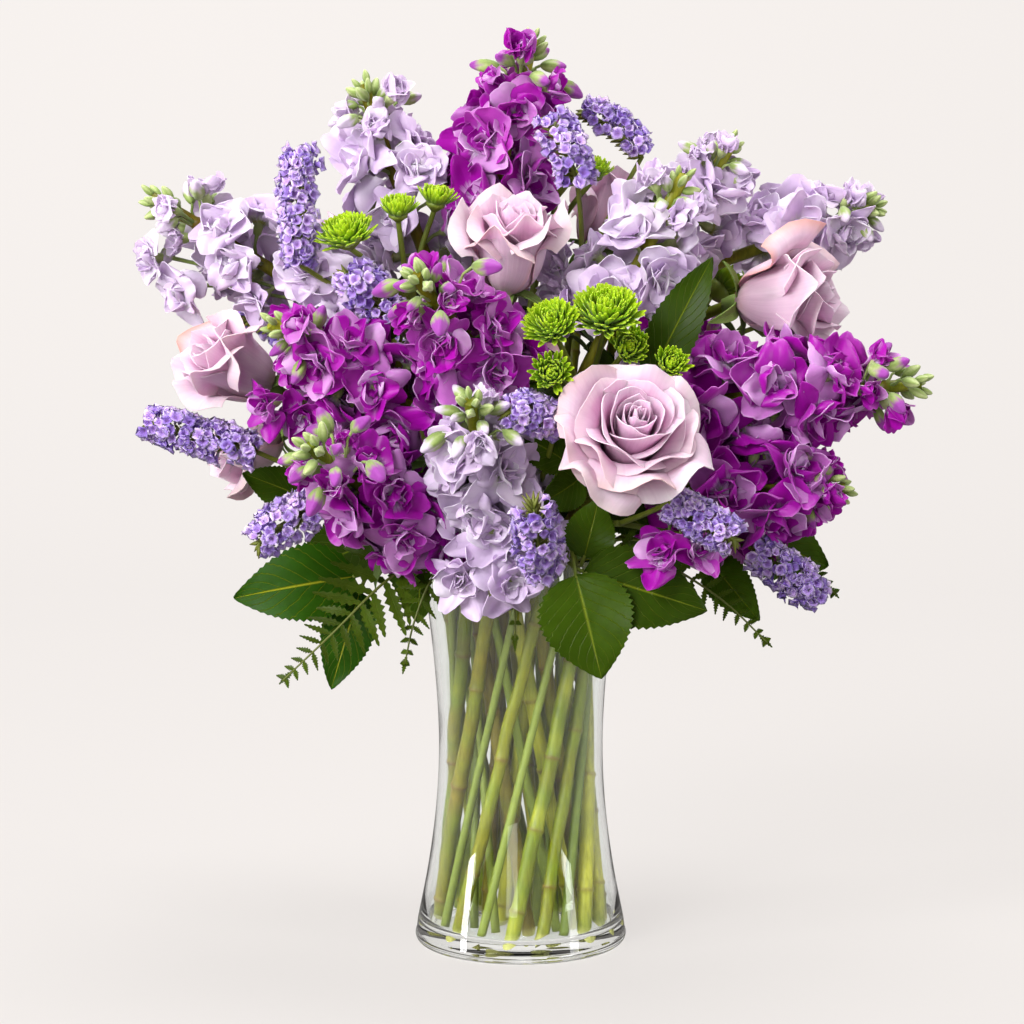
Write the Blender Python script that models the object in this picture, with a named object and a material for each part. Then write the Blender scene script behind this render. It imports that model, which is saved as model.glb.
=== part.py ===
"""A mixed bouquet of roses, stock, statice and button mums standing in a flared glass vase.

The origin is the middle of the vase's foot, where it stands on the table. +Z is up, -Y is the bouquet's
front and +X its right. Every cut stem stands on the vase's floor, leans across the waist in one of three
nested rings, so that no stem runs through another, and fans out from the mouth to its own bloom.
"""

import math

import bmesh
import bpy
from mathutils import Vector

MM = 0.001

# The vase: outer radius at each height, a thick foot and a thinner wall. Millimetres.
VASE_HEIGHT = 203
VASE_OUTSIDE = ((0, 50.5), (1.2, 53.2), (5, 54.3), (12, 53), (40, 47.6), (70, 43.6), (100, 42), (130, 43),
                (165, 46.4), (VASE_HEIGHT - 1.5, 51.6))
VASE_WALL = 3
VASE_FLOOR = 8
VASE_SIDES = 36

# The rings that the stems stand in: (radius on the floor, radius at the mouth, twist in degrees).
RINGS = {"outer": (42.5, 41, 70), "middle": (31, 29, -80), "inner": (17.5, 16.5, 70)}
CUT_END_Z = VASE_FLOOR + 1.5
MOUTH_Z = VASE_HEIGHT + 3

# Stem radii.
ROSE_STEM = 3.1
STOCK_STEM = 3.4
STATICE_STEM = 1.9
MUM_STEM = 2.2
LEAF_STALK = 1.1

# Roses: (name, ring, azimuth at the mouth, base of the bloom, middle of its open face, bloom radius).
ROSES = (
    ("rose_front_right", "outer", -68, (49, -94, 257), (55, -130, 287), 37),
    ("rose_top", "inner", -115, (-6, -33, 336), (-5, -54, 384), 30),
    ("rose_right", "outer", -6, (108, -14, 329), (152, -28, 337), 30),
    ("rose_left", "outer", -168, (-124, -42, 290), (-158, -60, 310), 31),
    ("rose_left_low", "outer", 170, (-122, 2, 262), (-160, -8, 247), 26),
    ("rose_back_left", "outer", 148, (-86, 52, 330), (-118, 68, 362), 29),
    ("rose_back_right", "middle", 56, (38, 62, 352), (52, 80, 392), 29),
    ("rose_back", "outer", 92, (-4, 86, 268), (-6, 128, 282), 34),
)

# Stock: (name, colour, ring, azimuth at the mouth, foot of the flower spike, tip, radius of the spike).
STOCKS = (
    ("purple_stock_top", "purple", "inner", 120, (-19, 8, 368), (6, 5, 461), 24),
    ("purple_stock_centre", "purple", "middle", -82, (-8, -58, 292), (-50, -112, 348), 23),
    ("purple_stock_left", "purple", "middle", -108, (-50, -56, 280), (-120, -84, 324), 22),
    ("purple_stock_low_left", "purple", "outer", -128, (-48, -58, 218), (-100, -118, 268), 21),
    ("purple_stock_right", "purple", "middle", -30, (92, -50, 286), (196, -50, 292), 23),
    ("purple_stock_low_right", "purple", "outer", -26, (78, -56, 240), (158, -66, 242), 25),
    ("purple_stock_back_right", "purple", "outer", 48, (62, 66, 268), (118, 112, 300), 25),
    ("purple_stock_back_left", "purple", "outer", 126, (-52, 76, 246), (-108, 122, 262), 25),
    ("lilac_stock_left", "lilac", "middle", -162, (-94, -20, 330), (-184, -14, 382), 25),
    ("lilac_stock_top_left", "lilac", "inner", 175, (-48, 4, 352), (-80, 12, 438), 25),
    ("lilac_stock_top_right", "lilac", "inner", -55, (42, -28, 318), (80, -38, 394), 26),
    ("lilac_stock_upper_right", "lilac", "outer", 28, (64, 12, 344), (108, 22, 410), 23),
    ("lilac_stock_far_right", "lilac", "middle", -2, (124, 34, 358), (180, 14, 376), 17),
    ("lilac_stock_front", "lilac", "outer", -106, (-13, -60, 224), (-24, -124, 290), 22),
    ("lilac_stock_back", "lilac", "middle", 112, (-18, 64, 318), (-40, 116, 362), 26),
    ("lilac_stock_back_low", "lilac", "outer", 70, (40, 82, 226), (62, 138, 242), 25),
)

# Statice: (name, ring, azimuth at the mouth, fork, ((foot, tip, radius) of each flower comb)).
STATICES = (
    ("statice_upper_left", "middle", 166, (-60, -10, 316),
     (((-107, -55, 350), (-108, -50, 404), 9), ((-62, -60, 324), (-84, -64, 346), 11))),
    ("statice_left", "outer", -148, (-84, -46, 238),
     (((-128, -68, 260), (-180, -68, 274), 9), ((-94, -82, 238), (-126, -88, 219), 10))),
    ("statice_top", "inner", 5, (32, -4, 350),
     (((28, -26, 388), (16, -22, 420), 11), ((62, 30, 402), (34, 30, 425), 10))),
    ("statice_front", "outer", -86, (6, -66, 232),
     (((10, -96, 206), (6, -120, 238), 11), ((17, -104, 278), (-5, -113, 284), 9))),
    ("statice_right", "outer", -48, (50, -58, 224),
     (((70, -108, 240), (100, -116, 224), 9), ((112, -74, 214), (144, -70, 190), 9))),
    ("statice_back", "middle", 140, (-56, 62, 284),
     (((-112, 96, 302), (-150, 88, 318), 11), ((-58, 116, 286), (-66, 142, 300), 11))),
)

# Button mums: (name, ring, azimuth at the mouth, fork, ((middle, way it faces, radius) of each head)).
MUMS = (
    ("mum_left", "middle", -134, (-56, -34, 336),
     (((-60, -52, 380), (0, -2, 5), 9), ((-41, -40, 385), (1, -1, 5), 9), ((-86, -62, 370), (-1, -2, 4), 13))),
    ("mum_right", "middle", -56, (32, -56, 284),
     (((13, -104, 328), (-1, -3, 3), 12), ((40, -96, 334), (0, -3, 4), 15), ((52, -88, 314), (1, -5, 2), 10),
      ((14, -112, 303), (0, -4, 1), 9.5), ((72, -92, 306), (1, -4, 2), 8.5))),
    ("mum_top", "inner", 70, (14, 30, 362),
     (((16, 44, 394), (-1, 1, 4), 13), ((38, 10, 398), (1, -1, 4), 9))),
    ("mum_back", "outer", 10, (80, 56, 296),
     (((110, 66, 336), (3, 2, 2), 14), ((84, 84, 338), (1, 3, 3), 12), ((132, 48, 316), (4, 1, 1), 11))),
)

# Foliage on its own stalk: (name, azimuth at the mouth, fork, ((base, tip, half width, way it faces) of each leaf)).
LEAVES = (
    ("leaf_front", -77, (24, -62, 219),
     (((26, -104, 205), (38, -112, 157), 22, (0, -1, 0.1)), ((30, -102, 206), (88, -104, 188), 19, (0, -1, 0.2)),
      ((30, -96, 212), (37, -92, 240), 12, (0, -1, 0.1)))),
    ("leaf_left", -157, (-62, -36, 214),
     (((-82, -46, 196), (-141, -50, 186), 19, (0, -1, 0.4)), ((-80, -44, 188), (-94, -50, 141), 13, (0, -1, 0.2)))),
    ("leaf_right", -33, (74, -42, 213),
     (((106, -42, 220), (152, -36, 200), 18, (0.1, -1, 0.3)), ((92, -54, 206), (116, -70, 178), 11, (0, -1, 0)))),
    ("leaf_top", -41, (48, -58, 282),
     (((62, -74, 296), (92, -66, 354), 12, (-0.2, -1, 0.1)),)),
    ("leaf_far_left", -175, (-76, -2, 226),
     (((-104, -30, 232), (-138, -34, 246), 11, (0, -1, 0.2)),)),
    ("leaf_back_left", 138, (-52, 48, 213),
     (((-74, 66, 200), (-122, 92, 176), 19, (-0.2, 1, 0.4)), ((-52, 78, 198), (-56, 104, 150), 18, (0, 1, 0.2)))),
    ("leaf_back_right", 36, (62, 42, 215),
     (((86, 58, 206), (140, 66, 192), 18, (0.3, 1, 0.3)), ((66, 72, 200), (78, 100, 158), 17, (0.2, 1, 0.2)))),
)

# Fern fronds: (name, azimuth at the mouth, points of the rachis outside the mouth, half width, way it faces).
FERNS = (
    ("fern_left", -138, ((-38, -38, 211), (-66, -60, 196), (-92, -74, 172), (-116, -82, 150)), 20, (0, -1, 0.5)),
    ("fern_low_left", -117, ((-26, -47, 210), (-42, -62, 200), (-52, -70, 178), (-57, -72, 156)), 11, (0, -1, 0.2)),
    ("fern_centre", -95, ((-6, -51, 210), (-4, -60, 200), (-3, -64, 186), (-3, -66, 168)), 8, (0, -1, 0.2)),
    ("fern_right", -58, ((36, -50, 210), (64, -68, 208), (96, -76, 190), (120, -80, 168)), 13, (0, -1, 0.3)),
    ("fern_far_right", -14, ((60, -20, 215), (104, -30, 218), (136, -30, 206), (158, -28, 184)), 14, (0, -1, 0.3)),
    ("fern_back", 104, ((-14, 50, 211), (-24, 76, 202), (-32, 96, 178), (-38, 104, 152)), 16, (0, 1, 0.3)),
)

FINISHES = {  # colour, roughness
    "glass": ((0.86, 0.93, 0.92), 0.04),
    "stem": ((0.26, 0.38, 0.06), 0.5),
    "rose_petal": ((0.72, 0.5, 0.62), 0.6),
    "purple_petal": ((0.38, 0.01, 0.42), 0.6),
    "lilac_petal": ((0.56, 0.44, 0.74), 0.6),
    "statice_petal": ((0.28, 0.22, 0.62), 0.7),
    "mum_petal": ((0.36, 0.58, 0.02), 0.6),
    "leaf": ((0.05, 0.13, 0.02), 0.45),
    "fern": ((0.03, 0.1, 0.02), 0.5),
}


def clear_scene():
    for obj in list(bpy.data.objects):
        bpy.data.objects.remove(obj, do_unlink=True)


def finish(name):
    material = bpy.data.materials.get(name) or bpy.data.materials.new(name)
    material.use_nodes = True
    colour, roughness = FINISHES[name]
    shader = material.node_tree.nodes["Principled BSDF"]
    shader.inputs["Base Color"].default_value = (*colour, 1)
    shader.inputs["Roughness"].default_value = roughness
    shader.inputs["Metallic"].default_value = 0
    return material


def add_object(name, data, material):
    obj = bpy.data.objects.new(name, data)
    bpy.context.scene.collection.objects.link(obj)
    data.materials.append(finish(material))
    return obj


def on_ring(ring, azimuth, share):
    """A point of a ring's straight stem: share 0 is its cut end on the vase's floor, and 1 is the mouth."""
    floor_radius, mouth_radius, twist = RINGS[ring]
    foot_angle = math.radians(azimuth - twist)
    mouth_angle = math.radians(azimuth)
    foot = Vector((math.cos(foot_angle) * floor_radius, math.sin(foot_angle) * floor_radius, CUT_END_Z))
    mouth = Vector((math.cos(mouth_angle) * mouth_radius, math.sin(mouth_angle) * mouth_radius, MOUTH_Z))
    return foot.lerp(mouth, share)


def bezier(start, start_pull, end_pull, end, steps):
    """Points along a Bezier curve, without its first point."""
    points = []
    for step in range(1, steps + 1):
        t = step / steps
        s = 1 - t
        points.append(start * s**3 + start_pull * 3 * s * s * t + end_pull * 3 * s * t * t + end * t**3)
    return points


def stem_path(ring, azimuth, base, heading, steps=6):
    """A stem's centreline: straight up through the vase, then bending to reach base along heading."""
    foot = on_ring(ring, azimuth, 0)
    mouth = on_ring(ring, azimuth, 1)
    base = Vector(base)
    reach = (base - mouth).length
    start_pull = mouth + (mouth - foot).normalized() * reach * 0.36
    end_pull = base - Vector(heading).normalized() * reach * 0.28
    return [foot, mouth, *bezier(mouth, start_pull, end_pull, base, steps)]


def rod(name, points, radii, material, roundness=1):
    """A round solid along points, with a radius at each. Millimetres. roundness 1 gives 6 sides, 2 gives 8."""
    curve = bpy.data.curves.new(name, "CURVE")
    curve.dimensions = "3D"
    curve.bevel_depth = MM
    curve.bevel_resolution = roundness
    curve.use_fill_caps = True
    spline = curve.splines.new("POLY")
    spline.points.add(len(points) - 1)
    for knot, point, radius in zip(spline.points, points, radii):
        knot.co = (*(Vector(point) * MM), 1)
        knot.radius = radius
    return add_object(name, curve, material)


def as_mesh(obj):
    """The same object as a plain mesh, because a Boolean takes no curve."""
    bpy.context.view_layer.update()
    graph = bpy.context.evaluated_depsgraph_get()
    mesh = bpy.data.meshes.new_from_object(obj.evaluated_get(graph))
    name = obj.name
    bpy.data.objects.remove(obj, do_unlink=True)
    solid = bpy.data.objects.new(name, mesh)
    bpy.context.scene.collection.objects.link(solid)
    return solid


def grow_together(trunk, branches):
    """Joins branches to trunk, as one plant. The branches stay in the scene as hidden helpers."""
    trunk = as_mesh(trunk)
    for branch in branches:
        helper = as_mesh(branch)
        helper.hide_render = True
        helper.display_type = "WIRE"
        join = trunk.modifiers.new(f"join {helper.name}", "BOOLEAN")
        join.operation = "UNION"
        join.solver = "EXACT"
        join.object = helper
    return trunk


def lerp_table(table, value):
    """The second column of a table, read between its rows at a value of the first."""
    for (low, a), (high, b) in zip(table, table[1:]):
        if value <= high:
            return a + (b - a) * (value - low) / (high - low)
    return table[-1][1]


def vase():
    """Blown glass: a turned profile with a waist, an open mouth with a round lip, and a thick foot."""
    outside = [(radius, z) for z, radius in VASE_OUTSIDE]
    lip_radius = VASE_OUTSIDE[-1][1]
    lip = [(lip_radius - VASE_WALL / 2, VASE_HEIGHT), (lip_radius - VASE_WALL, VASE_HEIGHT - 1.5)]
    inside = [(radius - VASE_WALL, z) for z, radius in reversed(VASE_OUTSIDE[4:-1])]
    corner = lerp_table(VASE_OUTSIDE, VASE_FLOOR) - VASE_WALL
    floor = [(corner - 0.4, VASE_FLOOR + 5), (corner - 5, VASE_FLOOR)]
    profile = [*outside, *lip, *inside, *floor]
    mesh = bmesh.new()
    wire = [mesh.verts.new(Vector((radius, 0, z)) * MM) for radius, z in profile]
    edges = [mesh.edges.new(pair) for pair in zip(wire, wire[1:])]
    bmesh.ops.spin(mesh, geom=[*wire, *edges], axis=(0, 0, 1), cent=(0, 0, 0), angle=math.tau,
                   steps=VASE_SIDES, use_merge=True)
    bmesh.ops.remove_doubles(mesh, verts=mesh.verts, dist=1e-6)
    bmesh.ops.holes_fill(mesh, edges=mesh.edges, sides=VASE_SIDES)
    bmesh.ops.recalc_face_normals(mesh, faces=mesh.faces)
    data = bpy.data.meshes.new("vase")
    mesh.to_mesh(data)
    mesh.free()
    data.shade_smooth()
    return add_object("vase", data, "glass")


# A rose's turned outline: (share of the bloom's radius, share of its depth), from the hip up over the outer
# petals' rim, down into the gap behind them, over the next whorl and up to the bud.
ROSE_OUTLINE = ((0, 0), (0.16, 0), (0.42, 0.12), (0.78, 0.36), (0.97, 0.7), (1, 0.82), (0.9, 0.86),
                (0.76, 0.7), (0.7, 0.9), (0.58, 0.95), (0.46, 0.84), (0.3, 0.98), (0, 0.95))
ROSE_SIDES = 12


def rose(name, ring, azimuth, base, face, radius):
    """A rose: the stem is one node, and the bloom, its petals packed into whorls, is another."""
    base, face = Vector(base), Vector(face)
    axis = (face - base).normalized()
    path = [*stem_path(ring, azimuth, base - axis * 6, axis), base - axis * 0.4]
    radii = [ROSE_STEM] * (len(path) - 1) + [ROSE_STEM * 1.3]
    rod(f"{name}_stem", path, radii, "stem")

    depth = (face - base).length
    mesh = bmesh.new()
    wire = [mesh.verts.new(Vector((r * radius, 0, z * depth)) * MM) for r, z in ROSE_OUTLINE]
    edges = [mesh.edges.new(pair) for pair in zip(wire, wire[1:])]
    bmesh.ops.spin(mesh, geom=[*wire, *edges], axis=(0, 0, 1), cent=(0, 0, 0), angle=math.tau,
                   steps=ROSE_SIDES, use_merge=True)
    bmesh.ops.remove_doubles(mesh, verts=mesh.verts, dist=1e-6)
    bmesh.ops.recalc_face_normals(mesh, faces=mesh.faces)
    data = bpy.data.meshes.new(f"{name}_bloom")
    mesh.to_mesh(data)
    mesh.free()
    bloom = add_object(f"{name}_bloom", data, "rose_petal")
    bloom.location = base * MM
    bloom.rotation_mode = "QUATERNION"
    bloom.rotation_quaternion = axis.to_track_quat("Z", "Y")


# How wide a flower spike is along its length, as a share of its widest: florets below, buds at the tip.
SPIKE_SHAPE = ((0, 0.3), (0.12, 0.86), (0.3, 0.96), (0.5, 1), (0.68, 0.82), (0.84, 0.5), (0.94, 0.3), (1, 0.14))


def stock(name, colour, ring, azimuth, base, tip, radius):
    """One cut stem of stock, with its florets set all round the upper part of the stem."""
    base, tip = Vector(base), Vector(tip)
    path = stem_path(ring, azimuth, base, tip - base)
    radii = [STOCK_STEM] * len(path)
    for share, width in SPIKE_SHAPE:
        path.append(base.lerp(tip, 0.04 + 0.96 * share))
        radii.append(radius * width)
    rod(name, path, radii, f"{colour}_petal", roundness=2)


# How wide a statice comb is along its length.
COMB_SHAPE = ((0, 0.55), (0.25, 0.95), (0.7, 1), (1, 0.6))


def statice(name, ring, azimuth, fork, combs):
    """A statice stem that forks, each branch ending in a dense comb of papery flowers."""
    fork = Vector(fork)
    heading = sum((Vector(foot) for foot, _, _ in combs), Vector()) / len(combs) - fork
    path = stem_path(ring, azimuth, fork, heading)
    trunk = rod(name, path, [STATICE_STEM] * len(path), "statice_petal")
    inside_trunk = path[-2].lerp(fork, 0.7)
    branches = []
    for number, (foot, tip, radius) in enumerate(combs):
        foot, tip = Vector(foot), Vector(tip)
        bend = inside_trunk.lerp(foot, 0.5) + heading.normalized() * 3
        points = [inside_trunk, bend, foot]
        radii = [STATICE_STEM * 0.8, STATICE_STEM * 0.7, STATICE_STEM * 0.7]
        for share, width in COMB_SHAPE:
            points.append(foot.lerp(tip, 0.06 + 0.94 * share))
            radii.append(radius * width)
        branches.append(rod(f"{name}_comb_{number}", points, radii, "statice_petal"))
    grow_together(trunk, branches)


# A button mum's side view: (height as a share of its radius, width as a share of its radius).
BUTTON_SHAPE = ((-0.75, 0.35), (-0.6, 0.8), (-0.15, 1), (0.35, 0.85), (0.6, 0.4))


def mum(name, ring, azimuth, fork, heads):
    """A spray of button mums: one stem, and a stalk for each round green head."""
    fork = Vector(fork)
    heading = sum((Vector(middle) for middle, _, _ in heads), Vector()) / len(heads) - fork
    path = stem_path(ring, azimuth, fork, heading)
    trunk = rod(name, path, [MUM_STEM] * len(path), "mum_petal")
    inside_trunk = path[-2].lerp(fork, 0.6)
    branches = []
    for number, (middle, way, radius) in enumerate(heads):
        middle, way = Vector(middle), Vector(way).normalized()
        neck = middle - way * radius
        points = [inside_trunk, inside_trunk.lerp(neck, 0.55) + heading.normalized() * 2, neck]
        radii = [MUM_STEM * 0.8, MUM_STEM * 0.7, MUM_STEM * 0.7]
        for height, width in BUTTON_SHAPE:
            points.append(middle + way * height * radius)
            radii.append(radius * width)
        branches.append(rod(f"{name}_head_{number}", points, radii, "mum_petal", roundness=2))
    grow_together(trunk, branches)


BLADE_THICKNESS = 0.9


def blade(name, spine, half_widths, facing, material):
    """A thin leaf along spine, with a half width at each of its points, lying square to facing."""
    mesh = bmesh.new()
    rows = []
    for index, (point, half) in enumerate(zip(spine, half_widths)):
        ahead = spine[min(index + 1, len(spine) - 1)] - spine[max(index - 1, 0)]
        side = ahead.cross(Vector(facing)).normalized() * half
        rows.append([mesh.verts.new((point + side * share) * MM) for share in (-1, 0, 1)])
    for low, high in zip(rows, rows[1:]):
        for left in range(2):
            mesh.faces.new((low[left], low[left + 1], high[left + 1], high[left]))
    bmesh.ops.recalc_face_normals(mesh, faces=mesh.faces)
    bmesh.ops.solidify(mesh, geom=mesh.faces[:], thickness=BLADE_THICKNESS * MM)
    bmesh.ops.recalc_face_normals(mesh, faces=mesh.faces)
    data = bpy.data.meshes.new(name)
    mesh.to_mesh(data)
    mesh.free()
    return add_object(name, data, material)


# The foliage's stalks stand between the outer ring's stems, close to the wall, and end a little way down.
STALK_ENDS = ((43.8, 181), (46.7, 206))


def stalk_path(azimuth):
    turn = math.radians(azimuth)
    return [Vector((math.cos(turn) * radius, math.sin(turn) * radius, z)) for radius, z in STALK_ENDS]


# A leaflet's half width along its length, as a share of its widest.
LEAFLET_SHAPE = ((0, 0.12), (0.2, 0.78), (0.45, 1), (0.75, 0.68), (1, 0.06))
LEAF_DROOP = 0.06


def leaves(name, azimuth, fork, leaflets):
    """A rose leaf: one stalk, with its leaflets spreading from it."""
    fork = Vector(fork)
    inside = stalk_path(azimuth)
    start_pull = inside[-1] + (inside[-1] - inside[-2]).normalized() * 10
    spread = sum((Vector(base) for base, _, _, _ in leaflets), Vector()) / len(leaflets) - fork
    end_pull = fork - spread.normalized() * 8
    path = [*inside, *bezier(inside[-1], start_pull, end_pull, fork, 3)]
    trunk = rod(name, path, [LEAF_STALK] * len(path), "leaf")
    inside_trunk = path[-2].lerp(fork, 0.6)
    branches = []
    for number, (base, tip, half_width, facing) in enumerate(leaflets):
        base, tip = Vector(base), Vector(tip)
        along = (tip - base).normalized()
        hook = (base - inside_trunk).length * 0.4
        reach = bezier(inside_trunk, inside_trunk + spread.normalized() * hook, base - along * hook, base, 4)
        petiole = [inside_trunk, *reach, base + along * 4]
        branches.append(rod(f"{name}_petiole_{number}", petiole, [LEAF_STALK * 0.9] * 6, "leaf"))
        spine, halves = [], []
        for share, width in LEAFLET_SHAPE:
            bow = Vector(facing).normalized() * (tip - base).length * LEAF_DROOP * math.sin(math.pi * share)
            spine.append(base.lerp(tip, share) + bow * (1 if 0.1 < share < 0.9 else 0))
            halves.append(half_width * width)
        spine[1] = spine[0].lerp(spine[2], 0.45)
        branches.append(blade(f"{name}_leaflet_{number}", spine, halves, facing, "leaf"))
    grow_together(trunk, branches)


PINNA_PAIRS = 6
FERN_BARE_SHARE = 0.2


def fern(name, azimuth, rachis, half_width, facing):
    """A fern frond hanging over the lip: a rachis, and a blade cut into pairs of pinnae that shorten to the tip."""
    rachis = [Vector(point) for point in rachis]
    inside = stalk_path(azimuth)
    path = [*inside, *rachis]
    radii = [LEAF_STALK] * len(inside) + [LEAF_STALK, LEAF_STALK * 0.9, LEAF_STALK * 0.8, LEAF_STALK * 0.5]
    trunk = rod(name, path, radii, "fern")
    spine, halves = [], []
    stations = 2 * PINNA_PAIRS
    for station in range(stations + 1):
        share = FERN_BARE_SHARE + (1 - FERN_BARE_SHARE) * station / stations
        place = share * (len(rachis) - 1)
        leg = min(int(place), len(rachis) - 2)
        spine.append(rachis[leg].lerp(rachis[leg + 1], place - leg))
        taper = 1 - 0.85 * (station / stations) ** 1.5
        halves.append(half_width * taper * (1 if station % 2 else 0.35))
    halves[-1] = 0.6
    grow_together(trunk, [blade(f"{name}_blade", spine, halves, facing, "fern")])


def build():
    clear_scene()
    vase()
    for maker, plants in ((rose, ROSES), (stock, STOCKS), (statice, STATICES), (mum, MUMS), (leaves, LEAVES),
                          (fern, FERNS)):
        for plant in plants:
            maker(*plant)


build()
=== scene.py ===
import math
import random

import bmesh
import bpy
from mathutils import Matrix, Vector, noise


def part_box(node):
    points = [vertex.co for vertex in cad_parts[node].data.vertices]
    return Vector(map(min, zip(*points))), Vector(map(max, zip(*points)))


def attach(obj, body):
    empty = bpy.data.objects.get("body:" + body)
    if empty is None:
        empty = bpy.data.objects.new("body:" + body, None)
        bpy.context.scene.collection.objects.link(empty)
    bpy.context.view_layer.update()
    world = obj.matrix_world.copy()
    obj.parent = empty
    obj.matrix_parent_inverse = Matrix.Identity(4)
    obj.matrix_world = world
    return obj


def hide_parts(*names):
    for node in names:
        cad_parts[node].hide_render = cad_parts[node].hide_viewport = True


MM = 0.001
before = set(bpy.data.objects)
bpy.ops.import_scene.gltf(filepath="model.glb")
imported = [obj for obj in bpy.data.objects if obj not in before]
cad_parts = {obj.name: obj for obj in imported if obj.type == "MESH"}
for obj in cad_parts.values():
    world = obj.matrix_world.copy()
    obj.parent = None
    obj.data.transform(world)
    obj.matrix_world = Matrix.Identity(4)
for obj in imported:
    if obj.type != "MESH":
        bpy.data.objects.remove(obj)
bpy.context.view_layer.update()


# --------------------------------------------------------------------------------------------------------
# The vase
# One gather of clear soda glass, blown into a mould: a thick foot, a waist, and a mouth flared by hand,
# with its lip fire-polished round. Nothing is fixed to it.

VASE_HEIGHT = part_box("vase")[1].z / MM
VASE_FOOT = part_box("vase")[1].x / MM
VASE_WALL = 2.9
VASE_FLOOR = 8
VASE_SEGMENTS = 128
# each share of the height, and the outer radius there as a share of the foot's
VASE_FLANKS = ((0.0591, 0.977), (0.197, 0.877), (0.345, 0.803), (0.493, 0.7735), (0.64, 0.792),
               (0.813, 0.8545), (0.9926, 0.9503))
FOOT_ROUNDING = 4.6
CORNER_RADIUS = 7  # inside, where the wall meets the floor
CORNER_TOP = 22
GLASS_TINT = (0.955, 0.985, 0.975)
SAME_PLACE = 1e-6  # points nearer than this, in metres, are merged


def smooth_through(points, per_leg):
    """More points, on a smooth curve through the given ones."""
    points = [Vector(point) for point in points]
    ends = [points[0] * 2 - points[1], *points, points[-1] * 2 - points[-2]]
    curve = [points[0]]
    for a, b, c, d in zip(ends, ends[1:], ends[2:], ends[3:]):
        for step in range(1, per_leg + 1):
            t = step / per_leg
            curve.append(0.5 * (2 * b + (c - a) * t + (2 * a - 5 * b + 4 * c - d) * t * t
                                + (3 * b - a - 3 * c + d) * t ** 3))
    return curve


def arc(centre, radius, start, end, steps):
    """Points on an arc in the profile's plane, angles in degrees from the outward direction."""
    angles = [math.radians(start + (end - start) * step / steps) for step in range(steps + 1)]
    return [(centre[0] + radius * math.cos(angle), centre[1] + radius * math.sin(angle)) for angle in angles]


def mark(mesh, groups, marks):
    """Writes the mesh's float layers: for each, one number for all groups of vertices or one per group."""
    for key, values in marks.items():
        layer = mesh.verts.layers.float[key]
        for index, group in enumerate(groups):
            value = values[index] if isinstance(values, (tuple, list)) else values
            for vert in group:
                vert[layer] = value


def lathe(mesh, profile, steps, **marks):
    """Turns a profile of (radius, height), in millimetres, once about the Z axis."""
    wire = [mesh.verts.new((radius * MM, 0, height * MM)) for radius, height in profile]
    edges = [mesh.edges.new(pair) for pair in zip(wire, wire[1:])]
    mark(mesh, [[vert] for vert in wire], marks)
    bmesh.ops.spin(mesh, geom=[*wire, *edges], axis=(0, 0, 1), cent=(0, 0, 0), angle=math.tau, steps=steps,
                   use_merge=True)
    bmesh.ops.remove_doubles(mesh, verts=mesh.verts, dist=SAME_PLACE)


def as_data(name, mesh, closed=False):
    """The finished mesh, shaded smooth. A closed one has its faces turned outwards."""
    if closed:
        bmesh.ops.recalc_face_normals(mesh, faces=mesh.faces)
    data = bpy.data.meshes.new(name)
    mesh.to_mesh(data)
    mesh.free()
    data.shade_smooth()
    return data


def add_piece(name, data, material, slot, *stands_for):
    """Puts a finished mesh in the scene, riding with the vase."""
    piece = bpy.data.objects.new(name, data)
    bpy.context.scene.collection.objects.link(piece)
    data.materials.append(material)
    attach(piece, "root")
    if stands_for:
        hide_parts(*stands_for)


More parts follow.
